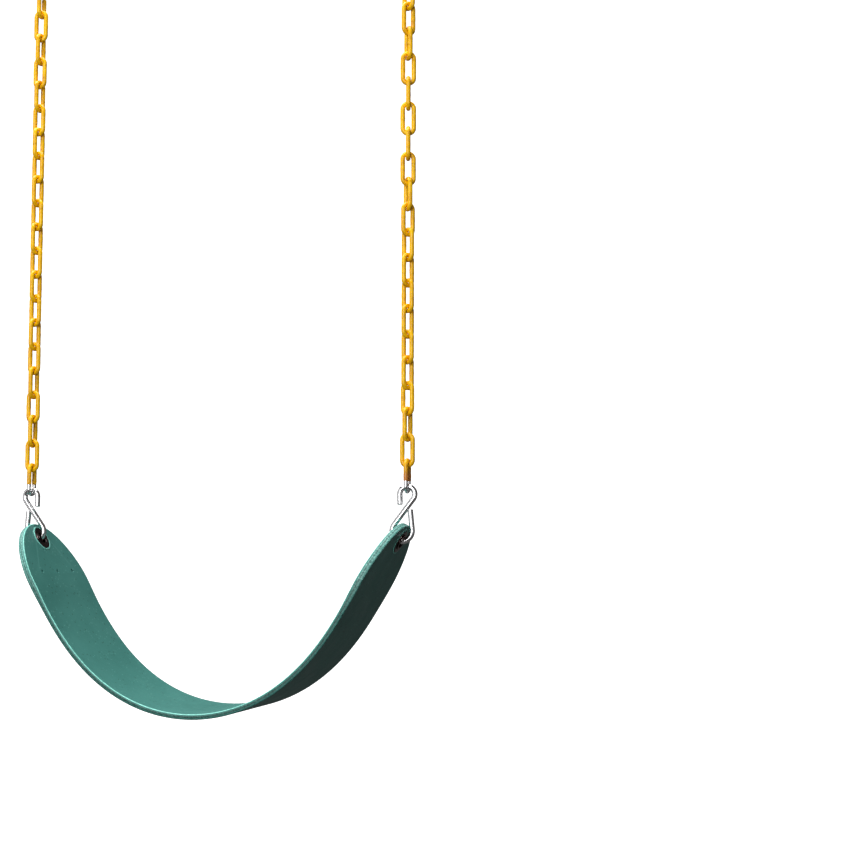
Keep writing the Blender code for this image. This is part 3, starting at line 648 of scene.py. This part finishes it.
def insert_outline():
    """The insert plate's outline on the flat belt, along measured from the grommet to the tip."""
    back = GROMMET_FROM_TIP - INSERT_CORNER_FROM_TIP
    circles = [
        (0.0, 0.0, INSERT_NECK_RADIUS),
        (back, INSERT_CORNER_SPREAD, INSERT_CORNER_RADIUS),
        (back, -INSERT_CORNER_SPREAD, INSERT_CORNER_RADIUS),
    ]
    tangents = []
    for first, second in zip(circles, circles[1:] + circles[:1]):
        heading = atan2(second[1] - first[1], second[0] - first[0])
        distance = hypot(second[0] - first[0], second[1] - first[1])
        tangents.append(heading - pi / 2 + asin((first[2] - second[2]) / distance))
    outline = []
    for i, (x, y, radius) in enumerate(circles):
        sweep = (tangents[i] - tangents[i - 1]) % (2 * pi)
        outline += arc((x, y), radius, tangents[i - 1], tangents[i - 1] + sweep, INSERT_ARC_STEPS)
    outline = np.array(outline)
    return outline[np.hypot(*(np.roll(outline, -1, axis=0) - outline).T) > 1e-6]


def depth_inside(points, outline):
    """How far each point is inside a closed convex outline that runs anticlockwise; outside is negative."""
    edges = np.roll(outline, -1, axis=0) - outline
    normals = unit(np.stack([-edges[:, 1], edges[:, 0]], axis=1))
    offsets = points[:, None, :] - outline[None, :, :]
    return np.einsum("pek,ek->pe", offsets, normals).min(axis=1)


def belt_grid():
    """Flat grid of one face, inside the rounded edge: a Coons patch between the outline's four sides."""
    far, right, near, left = [
        beside(line, unit(np.gradient(line, axis=0)), BELT_EDGE_RADIUS) for line in outline_sides()
    ]
    far = resample(far, BELT_COLUMNS + 1)
    near = resample(near, BELT_COLUMNS + 1)[::-1]
    right = resample(right, BELT_ROWS + 1)
    left = resample(left, BELT_ROWS + 1)[::-1]
    u = np.linspace(0.0, 1.0, BELT_COLUMNS + 1)[:, None, None]
    v = np.linspace(0.0, 1.0, BELT_ROWS + 1)[None, :, None]
    sides = (1 - v) * far[:, None, :] + v * near[:, None, :]
    ends = (1 - u) * left[None, :, :] + u * right[None, :, :]
    corners = (1 - u) * (1 - v) * far[0] + u * (1 - v) * far[-1] + (1 - u) * v * near[0] + u * v * near[-1]
    return sides + ends - corners


def boundary_indices():
    """Indices of the grid's edge in one loop, clockwise as seen from the seat face."""
    columns, rows = BELT_COLUMNS, BELT_ROWS
    loop = [(i, 0) for i in range(columns)]
    loop += [(columns, j) for j in range(rows)]
    loop += [(i, rows) for i in range(columns, 0, -1)]
    loop += [(0, j) for j in range(rows, 0, -1)]
    return [i * (rows + 1) + j for i, j in loop]


def edge_profile():
    """Sections of the rounded edge and the wall.

    Each is (reach past the face, share of the half thickness, height added to that share).
    """
    radius = BELT_EDGE_RADIUS
    upper = []
    for k in range(1, EDGE_STEPS + 1):
        turn = pi / 2 * k / EDGE_STEPS
        upper.append((radius * sin(turn), 1.0, -radius * (1.0 - cos(turn))))
    wall = []
    for k in range(1, WALL_STEPS):
        share = 1.0 - 2.0 * k / WALL_STEPS
        ridge = PARTING_RIDGE if share == 0.0 else 0.0
        wall.append((radius + ridge, share, -radius * share))
    lower = [(reach, -share, -drop) for reach, share, drop in reversed(upper)]
    return upper + wall + lower


def imprint_depth(flat):
    """How far points of the seat face are inside an insert plate's outline; outside is negative."""
    depths = np.full(len(flat), -1.0)
    for sign in SIDES.values():
        local = np.stack([sign * flat[:, 0] - (BELT_LENGTH / 2 - GROMMET_FROM_TIP), flat[:, 1]], axis=1)
        depths = np.maximum(depths, depth_inside(local, insert_outline()))
    return depths


def surface_relief(flat):
    """Height of the seat face's faint imprint over each insert plate."""
    return IMPRINT_HEIGHT * smooth_step((imprint_depth(flat) + IMPRINT_RAMP / 2) / IMPRINT_RAMP)


def make_belt():
    grid = belt_grid().reshape(-1, 2)
    loop = boundary_indices()
    half = belt_thickness(grid[:, 0]) / 2
    relief = surface_relief(grid)
    face_count, edge_count = len(grid), len(loop)
    edge = grid[loop]
    profile = edge_profile()
    # Painted highlight on the rounded edge: full on the near side, weaker on the far side.
    near = np.where(edge[:, 1] < 0.0, 1.0, FAR_BEAD_HIGHLIGHT)
    layers = [bend(grid, half + relief)]
    flags = {key: [np.zeros(face_count)] for key in ("rim", "bead_highlight", "parting")}
    for reach, share, drop in profile:
        height = half[loop] * share + drop + relief[loop] * max(share, 0.0)
        layers.append(bend(grown(edge, -reach), height))
        # pale marks the part of the rounding that gets the painted highlight
        on_bead = share == 1.0
        pale = 1.0 if on_bead and reach < BELT_EDGE_RADIUS * BEAD_HIGHLIGHT_SHARE else 0.0
        flags["rim"].append(np.full(edge_count, 0.0 if on_bead else 1.0 if share > -1.0 else 0.5))
        flags["bead_highlight"].append(near * pale)
        flags["parting"].append(np.full(edge_count, 1.0 if share == 0.0 else 0.0))
    layers.append(bend(grid, -half))
    for values in flags.values():
        values.append(np.zeros(face_count))
    vertices = np.concatenate(layers)
    back = face_count + len(profile) * edge_count
    faces = grid_faces(0, False) + grid_faces(back, True)
    rings = [loop]
    rings += [[face_count + k * edge_count + i for i in range(edge_count)] for k in range(len(profile))]
    rings.append([back + i for i in loop])
    for first, second in zip(rings, rings[1:]):
        for i in range(edge_count):
            j = (i + 1) % edge_count
            faces.append((first[i], first[j], second[j], second[i]))
    belt = add_mesh("belt", vertices, faces)
    around = np.concatenate([grid] + [edge] * len(profile) + [grid])
    from_tip = BELT_LENGTH / 2 - np.abs(around[:, 0])
    for key, values in flags.items():
        set_attribute(belt, key, np.concatenate(values))
    outside = np.full(len(vertices) - face_count, 1.0)
    set_attribute(belt, "imprint", np.concatenate([imprint_depth(grid), outside]))
    # The tip share sets the painted light on the wall near each tip.
    pale_share = (TIP_PALE_FROM - from_tip) / (TIP_PALE_FROM - TIP_PALE_TO)
    set_attribute(belt, "tip", smooth_step(pale_share))
    cut_belt(belt)
    finish_piece(belt, "seat", RUBBER, "green_rubber", "seat_belt")


def grid_faces(first, flipped):
    faces = []
    row = BELT_ROWS + 1
    for i in range(BELT_COLUMNS):
        for j in range(BELT_ROWS):
            corner = first + i * row + j
            face = (corner, corner + 1, corner + row + 1, corner + row)
            faces.append(face[::-1] if flipped else face)
    return faces


def end_matrix(side, from_tip, height=0.0):
    """Frame on one end of the belt: local +X to the tip, +Y across, +Z out of the seat face."""
    sign = SIDES[side]
    s = BELT_LENGTH / 2 - from_tip
    x = float(np.interp(s, CURVE_S, CURVE_X))
    z = BELT_Z + float(np.interp(s, CURVE_S, CURVE_Z))
    to_tip = Vector((sign * cos(BELT_END_ANGLE), 0.0, sin(BELT_END_ANGLE)))
    normal = Vector((-sign * sin(BELT_END_ANGLE), 0.0, cos(BELT_END_ANGLE)))
    across = normal.cross(to_tip)
    matrix = Matrix((to_tip, across, normal)).transposed().to_4x4()
    matrix.translation = Vector((sign * x, 0.0, z)) + normal * height
    return matrix


def plate(name, outline, thickness):
    vertices = [(x, y, z) for z in (-thickness / 2, thickness / 2) for x, y in outline]
    return add_mesh(name, vertices, capped(2, len(outline)))


def grown(outline, distance):
    """A closed outline moved to its right, which is outwards if it runs anticlockwise."""
    return beside(outline, unit(np.roll(outline, -1, axis=0) - np.roll(outline, 1, axis=0)), distance)


def cut_belt(belt):
    """Pockets for the insert plates, bores for the grommets and pin holes down to the plates."""
    pockets, bores, pins = [], [], []
    pocket_outline = grown(insert_outline(), GAP)
    bore_radius = GROMMET_BORE_RADIUS + GROMMET_WALL + GAP
    bottom = -BELT_END_THICKNESS / 2 + GAP
    pin_profile = [
        (0.0, bottom), (PIN_HOLE_RADIUS, bottom), (PIN_HOLE_RADIUS, -PIN_MOUTH_DEPTH * 0.9),
        (PIN_MOUTH_RADIUS, PIN_MOUTH_DEPTH * 0.1), (PIN_MOUTH_RADIUS, CUTTER_RISE), (0.0, CUTTER_RISE),
    ]
    for side in SIDES:
        at_grommet = end_matrix(side, GROMMET_FROM_TIP)
        pocket = plate("pocket", pocket_outline, INSERT_THICKNESS + 2 * GAP)
        pockets.append(transform(pocket, at_grommet))
        bore = rod("bore", bore_radius, -BELT_END_THICKNESS, BELT_END_THICKNESS, BORE_SIDES)
        bores.append(transform(bore, at_grommet))
        for number in (-1, 0, 1):
            place = end_matrix(side, INSERT_CORNER_FROM_TIP, BELT_END_THICKNESS / 2)
            place = place @ Matrix.Translation((0.0, number * PIN_HOLE_SPACING, 0.0))
            pins.append(transform(turned("pin", pin_profile, PIN_HOLE_SIDES, closed=False), place))
    for name, cutters in (("pockets", pockets), ("bores", bores), ("pins", pins)):
        cut(belt, join(name, cutters))
    belt.data.shade_smooth()
    belt.data.set_sharp_from_angle(angle=SHARP_ANGLE_BELT)


# ---- grommets --------------------------------------------------------
def make_grommet(side):
    """A drawn eyelet with a domed flange, rolled over a domed washer behind the belt."""
    face = BELT_END_THICKNESS / 2 + GAP
    bore = GROMMET_BORE_RADIUS
    wall = bore + GROMMET_WALL
    mouth = GROMMET_MOUTH_RADIUS
    top = face + GROMMET_FLANGE_THICKNESS
    rim = GROMMET_FLANGE_RADIUS
    washer_back = -top
    lip_front = washer_back - GAP
    lip_back = lip_front - GROMMET_WALL
    lip_rim = wall + GROMMET_LIP_REACH
    edge = GROMMET_FLANGE_THICKNESS * FLANGE_EDGE_SHARE
    roll = GROMMET_WALL * LIP_ROLL_SHARE
    profile = arc((rim - edge, face + edge), edge, -pi / 2, pi / 2, 10)
    crown = bore + mouth
    for k in range(1, 12):
        share = k / 12
        dish = FLANGE_DISH * sin(pi * share) ** 2
        rise = (top - face - 2 * edge) * smooth_step(share)
        profile.append((rim - edge - (rim - edge - crown) * share, face + 2 * edge + rise - dish))
    profile += arc((crown, top - mouth), mouth, pi / 2, pi, 8)
    profile += arc((bore + mouth, lip_back + mouth), mouth, pi, 3 * pi / 2, 8)
    profile += arc((lip_rim - roll, lip_back + roll), roll, -pi / 2, 0.0, 5)
    profile += arc((lip_rim - roll, lip_front - roll), roll, 0.0, pi / 2, 4)
    profile += [(wall, lip_front), (wall, face)]
    place = end_matrix(side, GROMMET_FROM_TIP)
    eyelet = transform(turned(f"eyelet_{side}", profile, TURNED_SIDES), place)
    finish_piece(eyelet, "seat", BRONZE, "dark_bronze", f"grommet_eyelet_{side}")
    inner = wall + GAP
    profile = arc((rim - edge, washer_back + edge), edge, -pi / 2, 0.0, 5)
    profile += [(rim, -face - edge * 0.4), (rim - edge * 0.4, -face), (inner, -face)]
    profile += arc((inner + edge / 2, washer_back + edge / 2), edge / 2, pi, 3 * pi / 2, 3)
    washer = transform(turned(f"washer_{side}", profile, TURNED_SIDES), place)
    finish_piece(washer, "seat", BRONZE, "dark_bronze", f"grommet_washer_{side}")


def make_moulded_rings(side):
    """The raised rings that are moulded round the flange and round the washer."""
    place = end_matrix(side, GROMMET_FROM_TIP)
    half = BELT_END_THICKNESS / 2
    half_width = MOULDED_RING_WIDTH / 2
    profile = [(MOULDED_RING_RADIUS + half_width, half - MOULDED_RING_SINK)]
    for k in range(9):
        turn = pi * k / 8
        height = half + MOULDED_RING_HEIGHT * sin(turn) ** 0.8
        profile.append((MOULDED_RING_RADIUS + half_width * cos(turn), height))
    profile.append((MOULDED_RING_RADIUS - half_width, half - MOULDED_RING_SINK))
    for name in ("front", "back"):
        ring = turned(f"moulded_ring_{side}_{name}", profile, TURNED_SIDES)
        if name == "back":
            transform(ring, Matrix.Rotation(pi, 4, "X"))
        # The rings get part of the rounding's painted highlight.
        set_attribute(ring, "bead_highlight", MOULDED_RING_HIGHLIGHT)
        set_attribute(ring, "imprint", 1.0)
        finish_piece(transform(ring, place), "seat", RUBBER, "green_rubber")


# ---- S-hooks ---------------------------------------------------------
def leg_end(centre, radius, angle, length):
    x = centre[0] + radius * cos(angle) - length * sin(angle)
    z = centre[1] + radius * sin(angle) + length * cos(angle)
    return x, z


def s_hook_line():
    """The hook's centre line, x out from the chain's line and z up from the top of the wire."""
    rise = sqrt(S_CENTRE_DISTANCE ** 2 - S_LOWER_INSET ** 2)
    upper = (0.0, -S_UPPER_RADIUS)
    lower = (-S_LOWER_INSET, -S_UPPER_RADIUS - rise)
    heading = atan2(lower[1] - upper[1], lower[0] - upper[0])
    leave = heading + acos((S_UPPER_RADIUS + S_LOWER_RADIUS) / S_CENTRE_DISTANCE)
    upper_start = pi + S_UPPER_LEG_LEAN
    lower_end = S_LOWER_LEG_LEAN + 2 * pi
    over = arc(upper, S_UPPER_RADIUS, upper_start, leave, 34)
    under = arc(lower, S_LOWER_RADIUS, leave + pi, lower_end, 40)
    line = straight(leg_end(upper, S_UPPER_RADIUS, upper_start, S_UPPER_LEG), over[0], 6)[:-1]
    line += over
    line += straight(over[-1], under[0], 8)[1:-1]
    line += under
    line += straight(under[-1], leg_end(lower, S_LOWER_RADIUS, lower_end, S_LOWER_LEG), 10)[1:]
    return line


def make_s_hook(side):
    node = f"s_hook_{side}"
    sign = SIDES[side]
    radius = S_WIRE_DIAMETER / 2
    points = [(sign * x, 0.0, z) for x, z in s_hook_line()]
    hook = tube(f"hook_{side}", points, radius, S_HOOK_SIDES, rounding=S_END_ROUNDING)
    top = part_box(node)[1].z - radius
    lower_z = top - S_UPPER_RADIUS - sqrt(S_CENTRE_DISTANCE ** 2 - S_LOWER_INSET ** 2)
    bearing_x = S_LOWER_INSET + S_LOWER_RADIUS * cos(BELT_END_ANGLE)
    bearing_z = lower_z - S_LOWER_RADIUS * sin(BELT_END_ANGLE) - top
    axis = Vector((-sign * bearing_x, 0.0, bearing_z))
    place = Matrix.Translation((sign * CHAIN_X, 0.0, top)) @ Matrix.Rotation(S_TURN[side], 4, axis)
    transform(hook, place)
    finish_piece(hook, node, ZINC, "zinc_steel", node)


# ---- chains ----------------------------------------------------------
class LinkPlace:
    """Where a CAD link is, how it is turned, and its sizes, all read from its own vertices."""

    def __init__(self, node):
        points = np.array([v.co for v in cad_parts[node].data.vertices], float)
        middle = (points.max(0) + points.min(0)) / 2
        flat = (points - middle)[:, :2]
        wide = np.linalg.eigh(flat.T @ flat)[1][:, -1]
        self.angle = atan2(wide[1], wide[0])
        self.centre = Vector(middle)
        self.low, self.high = points[:, 2].min(), points[:, 2].max()
        self.width = float(np.ptp(flat @ wide))
        self.wire = float(np.ptp(flat @ np.array([-wide[1], wide[0]])))

    def matrix(self):
        return Matrix.Translation(self.centre) @ Matrix.Rotation(self.angle, 4, "Z")


def link_line(end_radius, half_span):
    """A closed link's centre line as (x, z) points, anticlockwise from the right end of its top bend."""
    half = half_span - end_radius
    upper = arc((0.0, half), end_radius, 0.0, pi, LINK_ARC_STEPS)
    lower = arc((0.0, -half), end_radius, pi, 2 * pi, LINK_ARC_STEPS)
    down = straight(upper[-1], lower[0], LINK_SIDE_STEPS)[1:-1]
    up = straight(lower[-1], upper[0], LINK_SIDE_STEPS)[1:-1]
    return upper + down + lower + up


def coat_radius(x, z, radius, end_radius, half_span, phase):
    """The coat is a little uneven, and it swells over the weld on one long side."""
    half = half_span - end_radius
    on_side = max(0.0, 1.0 - (abs(z) / half) ** 4) if abs(z) < half else 0.0
    weld = WELD_SWELL * exp(-(z / WELD_HALF_LENGTH) ** 2) if x > 0.0 else 0.0
    ripple = sum(share * sin(z * pace + turns * phase) for share, pace, turns in COAT_RIPPLES)
    return radius * (1.0 + on_side * (weld + ripple) - COAT_SHRINK)


def make_link(side, number):
    """One link, coated all over, or at either end of its chain with bare steel at the hook."""
    name = f"link_{side}_{number:02d}"
    node = f"chain_{name}"
    link = LinkPlace(node)
    phase = PHASE_STEP * number + PHASE_START[side]
    bare_end = {1: -1.0, LINK_COUNT: 1.0}.get(number, 0.0)
    coated = link.wire / 2
    steel = LINK_STEEL_DIAMETER / 2
    end_radius = (link.width - link.wire) / 2
    if not bare_end:
        half_span = (link.high - link.low - link.wire) / 2
        line = link_line(end_radius, half_span)
        radii = [coat_radius(x, z, coated, end_radius, half_span, phase) for x, z in line]
        coat = tube(f"{name}_coated", upright(line), radii, LINK_SIDES, closed=True)
        finish_piece(transform(coat, link.matrix()), name, COATING, "yellow_coating", node)
        return
    high = link.high - (steel if bare_end > 0.0 else coated)
    low = link.low + (steel if bare_end < 0.0 else coated)
    half_span = (high - low) / 2
    link.centre.z = (high + low) / 2
    line = link_line(end_radius, half_span)
    wire = tube(f"{name}_steel", upright(line), steel, LINK_SIDES, closed=True)
    finish_piece(transform(wire, link.matrix()), name, ZINC, "zinc_steel", node)
    edge = bare_end * (half_span - LINK_BARE_LENGTH)
    sleeve = sleeve_line(line, bare_end, edge)
    radii = [coat_radius(x, z, coated, end_radius, half_span, phase) for x, z in sleeve]
    for k, share in SLEEVE_SHARES.items():
        radii[k] = coated * share
    coat = transform(tube(f"{name}_coat", upright(sleeve), radii, LINK_SIDES), link.matrix())
    worn_and_highlight = THIN_COAT[side] if number == 1 else THIN_COAT_AT_TOP
    from_edge = [abs(v.co.z - (link.centre.z + edge)) / WORN_LENGTH for v in coat.data.vertices]
    set_attribute(coat, "thin", [worn_and_highlight * min(max(1.8 - away, 0.0), 1.0) for away in from_edge])
    finish_piece(coat, name, COATING, "yellow_coating")


def sleeve_line(line, bare_end, edge):
    """The part of a link's line that the coat covers, from one side's edge round to the other's."""
    index = max(range(len(line)), key=lambda i: bare_end * line[i][1])
    kept = [(x, z) for x, z in line[index:] + line[:index] if bare_end * z < abs(edge)]
    steps = [edge, edge - bare_end * SLEEVE_TAPER * 0.35, edge - bare_end * SLEEVE_TAPER]
    inner = [(x, z) for x, z in kept if bare_end * (edge - z) > SLEEVE_TAPER]
    first, last = kept[0][0], kept[-1][0]
    return [(first, z) for z in steps] + inner + [(last, z) for z in reversed(steps)]


# ---- snap hooks ------------------------------------------------------
CHAIN_LOW, CHAIN_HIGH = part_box("chain_link_right_10")
CHAIN_X = abs((CHAIN_LOW.x + CHAIN_HIGH.x) / 2)
SNAP_WIRE_RADIUS = SNAP_WIRE_DIAMETER / 2
SNAP_EYE_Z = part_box("snap_hook_body_right")[1].z - SNAP_WIRE_RADIUS - SNAP_EYE_RADIUS
SNAP_LOOP_Z = SNAP_EYE_Z - SNAP_CENTRE_DISTANCE
NOSE_Z = SNAP_EYE_Z + SNAP_EYE_RADIUS * sin(SNAP_NOSE_ANGLE)


def gate_point(along):
    heel_x = -SNAP_LOOP_RADIUS * cos(SNAP_LEG_ANGLE)
    heel_z = SNAP_LOOP_Z + SNAP_LOOP_RADIUS * sin(SNAP_LEG_ANGLE)
    distance = (SNAP_LOOP_Z + GATE_PIVOT_HEIGHT - heel_z) / cos(SNAP_LEG_ANGLE) + along
    return heel_x + distance * sin(SNAP_LEG_ANGLE), heel_z + distance * cos(SNAP_LEG_ANGLE)


def gate_matrix(side, along=0.0):
    """Frame on the gate: local +Z up the gate, +Y along the rivet."""
    x, z = gate_point(along)
    place = Matrix.Translation((SIDES[side] * CHAIN_X + x, 0.0, z))
    return place @ Matrix.Rotation(SNAP_LEG_ANGLE, 4, "Y")


def rivet_matrix(side):
    return gate_matrix(side) @ Matrix.Rotation(pi / 2, 4, "X")


def nose_matrix(side):
    """Frame where the tongue leaves the nose: local +Z along the tongue, +Y across it."""
    x = SIDES[side] * CHAIN_X + SNAP_EYE_RADIUS * cos(SNAP_NOSE_ANGLE)
    return Matrix.Translation((x, 0.0, NOSE_Z)) @ Matrix.Rotation(-SNAP_NOSE_ANGLE, 4, "Y")


def gate_length():
    to_nose = (NOSE_Z - gate_point(0.0)[1]) / cos(SNAP_LEG_ANGLE)
    return to_nose - SNAP_WIRE_DIAMETER * sin(SNAP_LEG_ANGLE) - GATE_NOSE_GAP


def snap_line():
    """The snap hook's centre line, from its nose over the eye and round the loop to its tang."""
    eye = (0.0, SNAP_EYE_Z)
    loop = (0.0, SNAP_LOOP_Z)
    leg = SNAP_LEG_ANGLE
    normal = Vector((cos(leg), sin(leg)))
    along = Vector((-sin(leg), cos(leg)))
    start = Vector(loop) + normal * (SNAP_LOOP_RADIUS + SNAP_WAIST_RADIUS)
    offset = start - Vector(eye)
    run = offset.dot(along)
    reach = SNAP_EYE_RADIUS + SNAP_WAIST_RADIUS
    waist = start + along * (-run - sqrt(run ** 2 - offset.length_squared + reach ** 2))
    contact = atan2(waist.y - SNAP_EYE_Z, waist.x)
    over = arc(eye, SNAP_EYE_RADIUS, SNAP_NOSE_ANGLE, contact, 40)
    line = straight(leg_end(eye, SNAP_EYE_RADIUS, SNAP_NOSE_ANGLE, SNAP_TONGUE_LENGTH), over[0], 2)[:-1]
    line += over
    waist_arc = arc(tuple(waist), SNAP_WAIST_RADIUS, contact + pi, leg + pi, 8)
    round_loop = arc(loop, SNAP_LOOP_RADIUS, leg, -pi - leg, 48)
    line += waist_arc[1:]
    line += straight(waist_arc[-1], round_loop[0], 6)[1:-1]
    line += round_loop
    line += straight(round_loop[-1], gate_point(TANG_HEAD), 4)[1:]
    return line


def make_snap_hook(side):
    points = upright(snap_line(), SIDES[side] * CHAIN_X)
    body = tube(f"snap_body_{side}", points, SNAP_WIRE_RADIUS, SNAP_SIDES, across=(0.0, -1.0, 0.0))
    width = SNAP_WIRE_DIAMETER
    thickness = SNAP_TONGUE_THICKNESS / 2
    cutters = []
    at_nose = (nose_matrix(side), 0.0, 2 * SNAP_TONGUE_LENGTH)
    for place, low, high in ((gate_matrix(side), -TANG_HEEL, TANG_HEEL), at_nose):
        for face in (-1.0, 1.0):
            near, far = sorted((face * thickness, face * (thickness + SNAP_WIRE_DIAMETER)))
            cheek = box_between("cheek", (-width, near, low), (width, far, high))
            cutters.append(transform(cheek, place))
    hole = transform(rod("hole", RIVET_RADIUS + GAP, -width, width), rivet_matrix(side))
    for cutter in (join("flats", cutters), hole):
        cut(body, cutter)
    soften_edges(body, SNAP_EDGE_ROUNDING)
    finish_piece(body, "snap_hooks", ZINC, "zinc_steel", f"snap_hook_body_{side}")


def make_gate(side):
    """The gate is forked over the hook's tang, bored for its spring and slotted at the nose."""
    length = gate_length()
    gate = rod(f"gate_{side}", GATE_DIAMETER / 2, -GATE_HEEL, length, GATE_SIDES)
    width = GATE_DIAMETER
    half = SLOT_THICKNESS / 2
    slots = [
        box_between("slot", (-width, -half, end - SLOT_DEPTH), (width, half, end + SLOT_DEPTH))
        for end in (0.0, length)
    ]
    bore = rod("bore", GATE_BORE_RADIUS, SLOT_DEPTH - GAP, SLOT_DEPTH + GATE_BORE_DEPTH)
    hole = transform(rod("hole", RIVET_RADIUS + GAP, -width, width), Matrix.Rotation(pi / 2, 4, "X"))
    for cutter in (join("slots", slots), bore, hole):
        cut(gate, cutter)
    soften_edges(gate, GATE_EDGE_ROUNDING)
    transform(gate, gate_matrix(side))
    finish_piece(gate, f"gate_{side}", ZINC, "zinc_steel", f"snap_hook_gate_{side}")


def make_rivet(side):
    half = GATE_DIAMETER / 2 + GAP / 2
    head = half + RIVET_HEAD_THICKNESS
    dome = []
    for k in range(9):
        turn = pi / 2 * (1.0 - k / 8)
        dome.append((RIVET_HEAD_RADIUS * cos(turn), half + RIVET_HEAD_THICKNESS * sin(turn)))
    upper = [(0.0, head)] + dome[1:] + [(RIVET_RADIUS, half)]
    profile = upper + [(radius, -height) for radius, height in reversed(upper)]
    rivet = turned(f"rivet_{side}", profile[::-1], RIVET_SIDES, closed=False)
    transform(rivet, rivet_matrix(side))
    finish_piece(rivet, "snap_hooks", ZINC, "zinc_steel", f"gate_rivet_{side}")


def make_spring(side):
    coil_radius = GATE_BORE_RADIUS - GAP - SPRING_WIRE_DIAMETER / 2
    length = GATE_BORE_DEPTH - 4 * GAP - SPRING_WIRE_DIAMETER
    steps = SPRING_TURN_STEPS * SPRING_TURNS
    points = []
    for i in range(steps + 1):
        angle = 2 * pi * SPRING_TURNS * i / steps
        points.append((coil_radius * cos(angle), coil_radius * sin(angle), length * i / steps))
    radius = SPRING_WIRE_DIAMETER / 2
    spring = tube(f"spring_{side}", points, radius, SPRING_SIDES, across=(0.0, 0.0, 1.0))
    transform(spring, gate_matrix(side, SLOT_DEPTH + SPRING_WIRE_DIAMETER / 2 + GAP))
    finish_piece(spring, f"gate_{side}", SPRING_STEEL, "spring_steel", f"gate_spring_{side}")


# ---- studio ----------------------------------------------------------
FLOOR_DROP = 0.42          # below the seat's lowest point
FLOOR_RADIUS = 2.0
SWEEP_RADIUS = 1.2
WALL_TOP = 3.0
STAGE_SIDES = 96
WORLD_COLOUR = colour(1.0, 0.97, 0.96)
WORLD_STRENGTH = 0.098
CARDS = (                  # name, place, width and radiance
    ("left_card", (-2.5, -1.2, -0.3), 0.9, 1.2),
    ("back_card", (-2.3, 1.6, 0.0), 0.9, 1.1),
    ("right_card", (1.9, -1.85, -0.2), 0.5, 1.2),
)
CARD_TARGET = (0.0, 0.0, -0.65)
CARD_HEIGHT = 2.4


def stage_material():
    """Pale paint, faintly clouded. It glows a little more away from the middle, so it stays pale."""
    n = Nodes("pale_stage")
    cloud = n.spread(n.noise(0.8, 2.0), 0.3, 0.7)
    base = n.mix(cloud, colour(0.80, 0.80, 0.80), colour(0.77, 0.77, 0.78))
    radius = n.add("ShaderNodeVectorMath", {0: n.place}, operation="LENGTH").outputs["Value"]
    return n.principled(
        Base_Color=base,
        Roughness=0.9,
        Emission_Color=colour(1.0, 1.0, 1.0),
        Emission_Strength=n.spread(radius, 0.9, 1.6, 0.42, 1.0),
    )


def make_stage():
    """A round floor that sweeps up into a wall. Neither lights the object."""
    floor_z = CAD_BOX[0].z - FLOOR_DROP
    profile = [(FLOOR_RADIUS * i / 10, floor_z) for i in range(11)]
    profile += arc((FLOOR_RADIUS, floor_z + SWEEP_RADIUS), SWEEP_RADIUS, -pi / 2, 0.0, 16)[1:]
    profile.append((FLOOR_RADIUS + SWEEP_RADIUS, WALL_TOP))
    vertices = [(0.0, 0.0, floor_z)]
    for radius, height in profile[1:]:
        vertices += circle(radius, height, STAGE_SIDES)
    faces = [(0, 1 + k, 1 + (k + 1) % STAGE_SIDES) for k in range(STAGE_SIDES)]
    for face in rings_to_faces(len(profile) - 1, STAGE_SIDES):
        faces.append(tuple(1 + index for index in reversed(face)))
    stage = add_mesh("floor", vertices, faces)
    dress(stage, stage_material())
    stage.visible_diffuse = False
    stage.visible_glossy = False


def area_light(name, place, target, width, height, radiance, card=False):
    """A soft box. A card is seen only in reflections."""
    data = bpy.data.lights.new(name, "AREA")
    data.shape = "RECTANGLE"
    data.size = width
    data.size_y = height
    data.energy = radiance * pi * width * height
    obj = add_object(name, data)
    obj.location = place
    obj.rotation_euler = (Vector(target) - Vector(place)).to_track_quat("-Z", "Y").to_euler()
    obj.visible_camera = False
    obj.visible_diffuse = not card


def make_lights():
    world = bpy.data.worlds.new("studio")
    bpy.context.scene.world = world
    world.use_nodes = True
    background = world.node_tree.nodes["Background"]
    background.inputs["Color"].default_value = WORLD_COLOUR
    background.inputs["Strength"].default_value = WORLD_STRENGTH
    area_light("top", (-0.50, -0.1, 1.25), (-0.30, -0.1, -0.85), 2.0, 2.4, 5.6)
    area_light("front", (0.0, -2.7, -0.15), (0.0, 0.0, -0.45), 1.5, 2.0, 6.0)
    for name, place, width, radiance in CARDS:
        area_light(name, place, CARD_TARGET, width, CARD_HEIGHT, radiance, card=True)


def make_camera():
    data = bpy.data.cameras.new("camera")
    data.lens = CAMERA_LENS
    data.sensor_width = 36.0
    data.clip_start = 0.05
    camera = add_object("camera", data)
    ahead = cos(CAMERA_PITCH)
    forward = Vector((sin(CAMERA_YAW) * ahead, cos(CAMERA_YAW) * ahead, sin(CAMERA_PITCH)))
    level = Vector((cos(CAMERA_YAW), -sin(CAMERA_YAW), 0.0))
    up = level.cross(forward)
    right = level * cos(CAMERA_ROLL) + up * sin(CAMERA_ROLL)
    above = up * cos(CAMERA_ROLL) - level * sin(CAMERA_ROLL)
    matrix = Matrix((right, above, -forward)).transposed().to_4x4()
    matrix.translation = Vector(CAMERA_PLACE)
    camera.matrix_world = matrix
    bpy.context.scene.camera = camera


# ---- assembly --------------------------------------------------------
make_belt()
for side_name in SIDES:
    make_grommet(side_name)
    make_moulded_rings(side_name)
    make_s_hook(side_name)
    for link_number in range(1, LINK_COUNT + 1):
        make_link(side_name, link_number)
    make_snap_hook(side_name)
    make_gate(side_name)
    make_rivet(side_name)
    make_spring(side_name)
    dress(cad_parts[f"insert_plate_{side_name}"], INSERT_STEEL)
make_stage()
make_lights()
make_camera()
bpy.context.scene.view_settings.view_transform = "Standard"
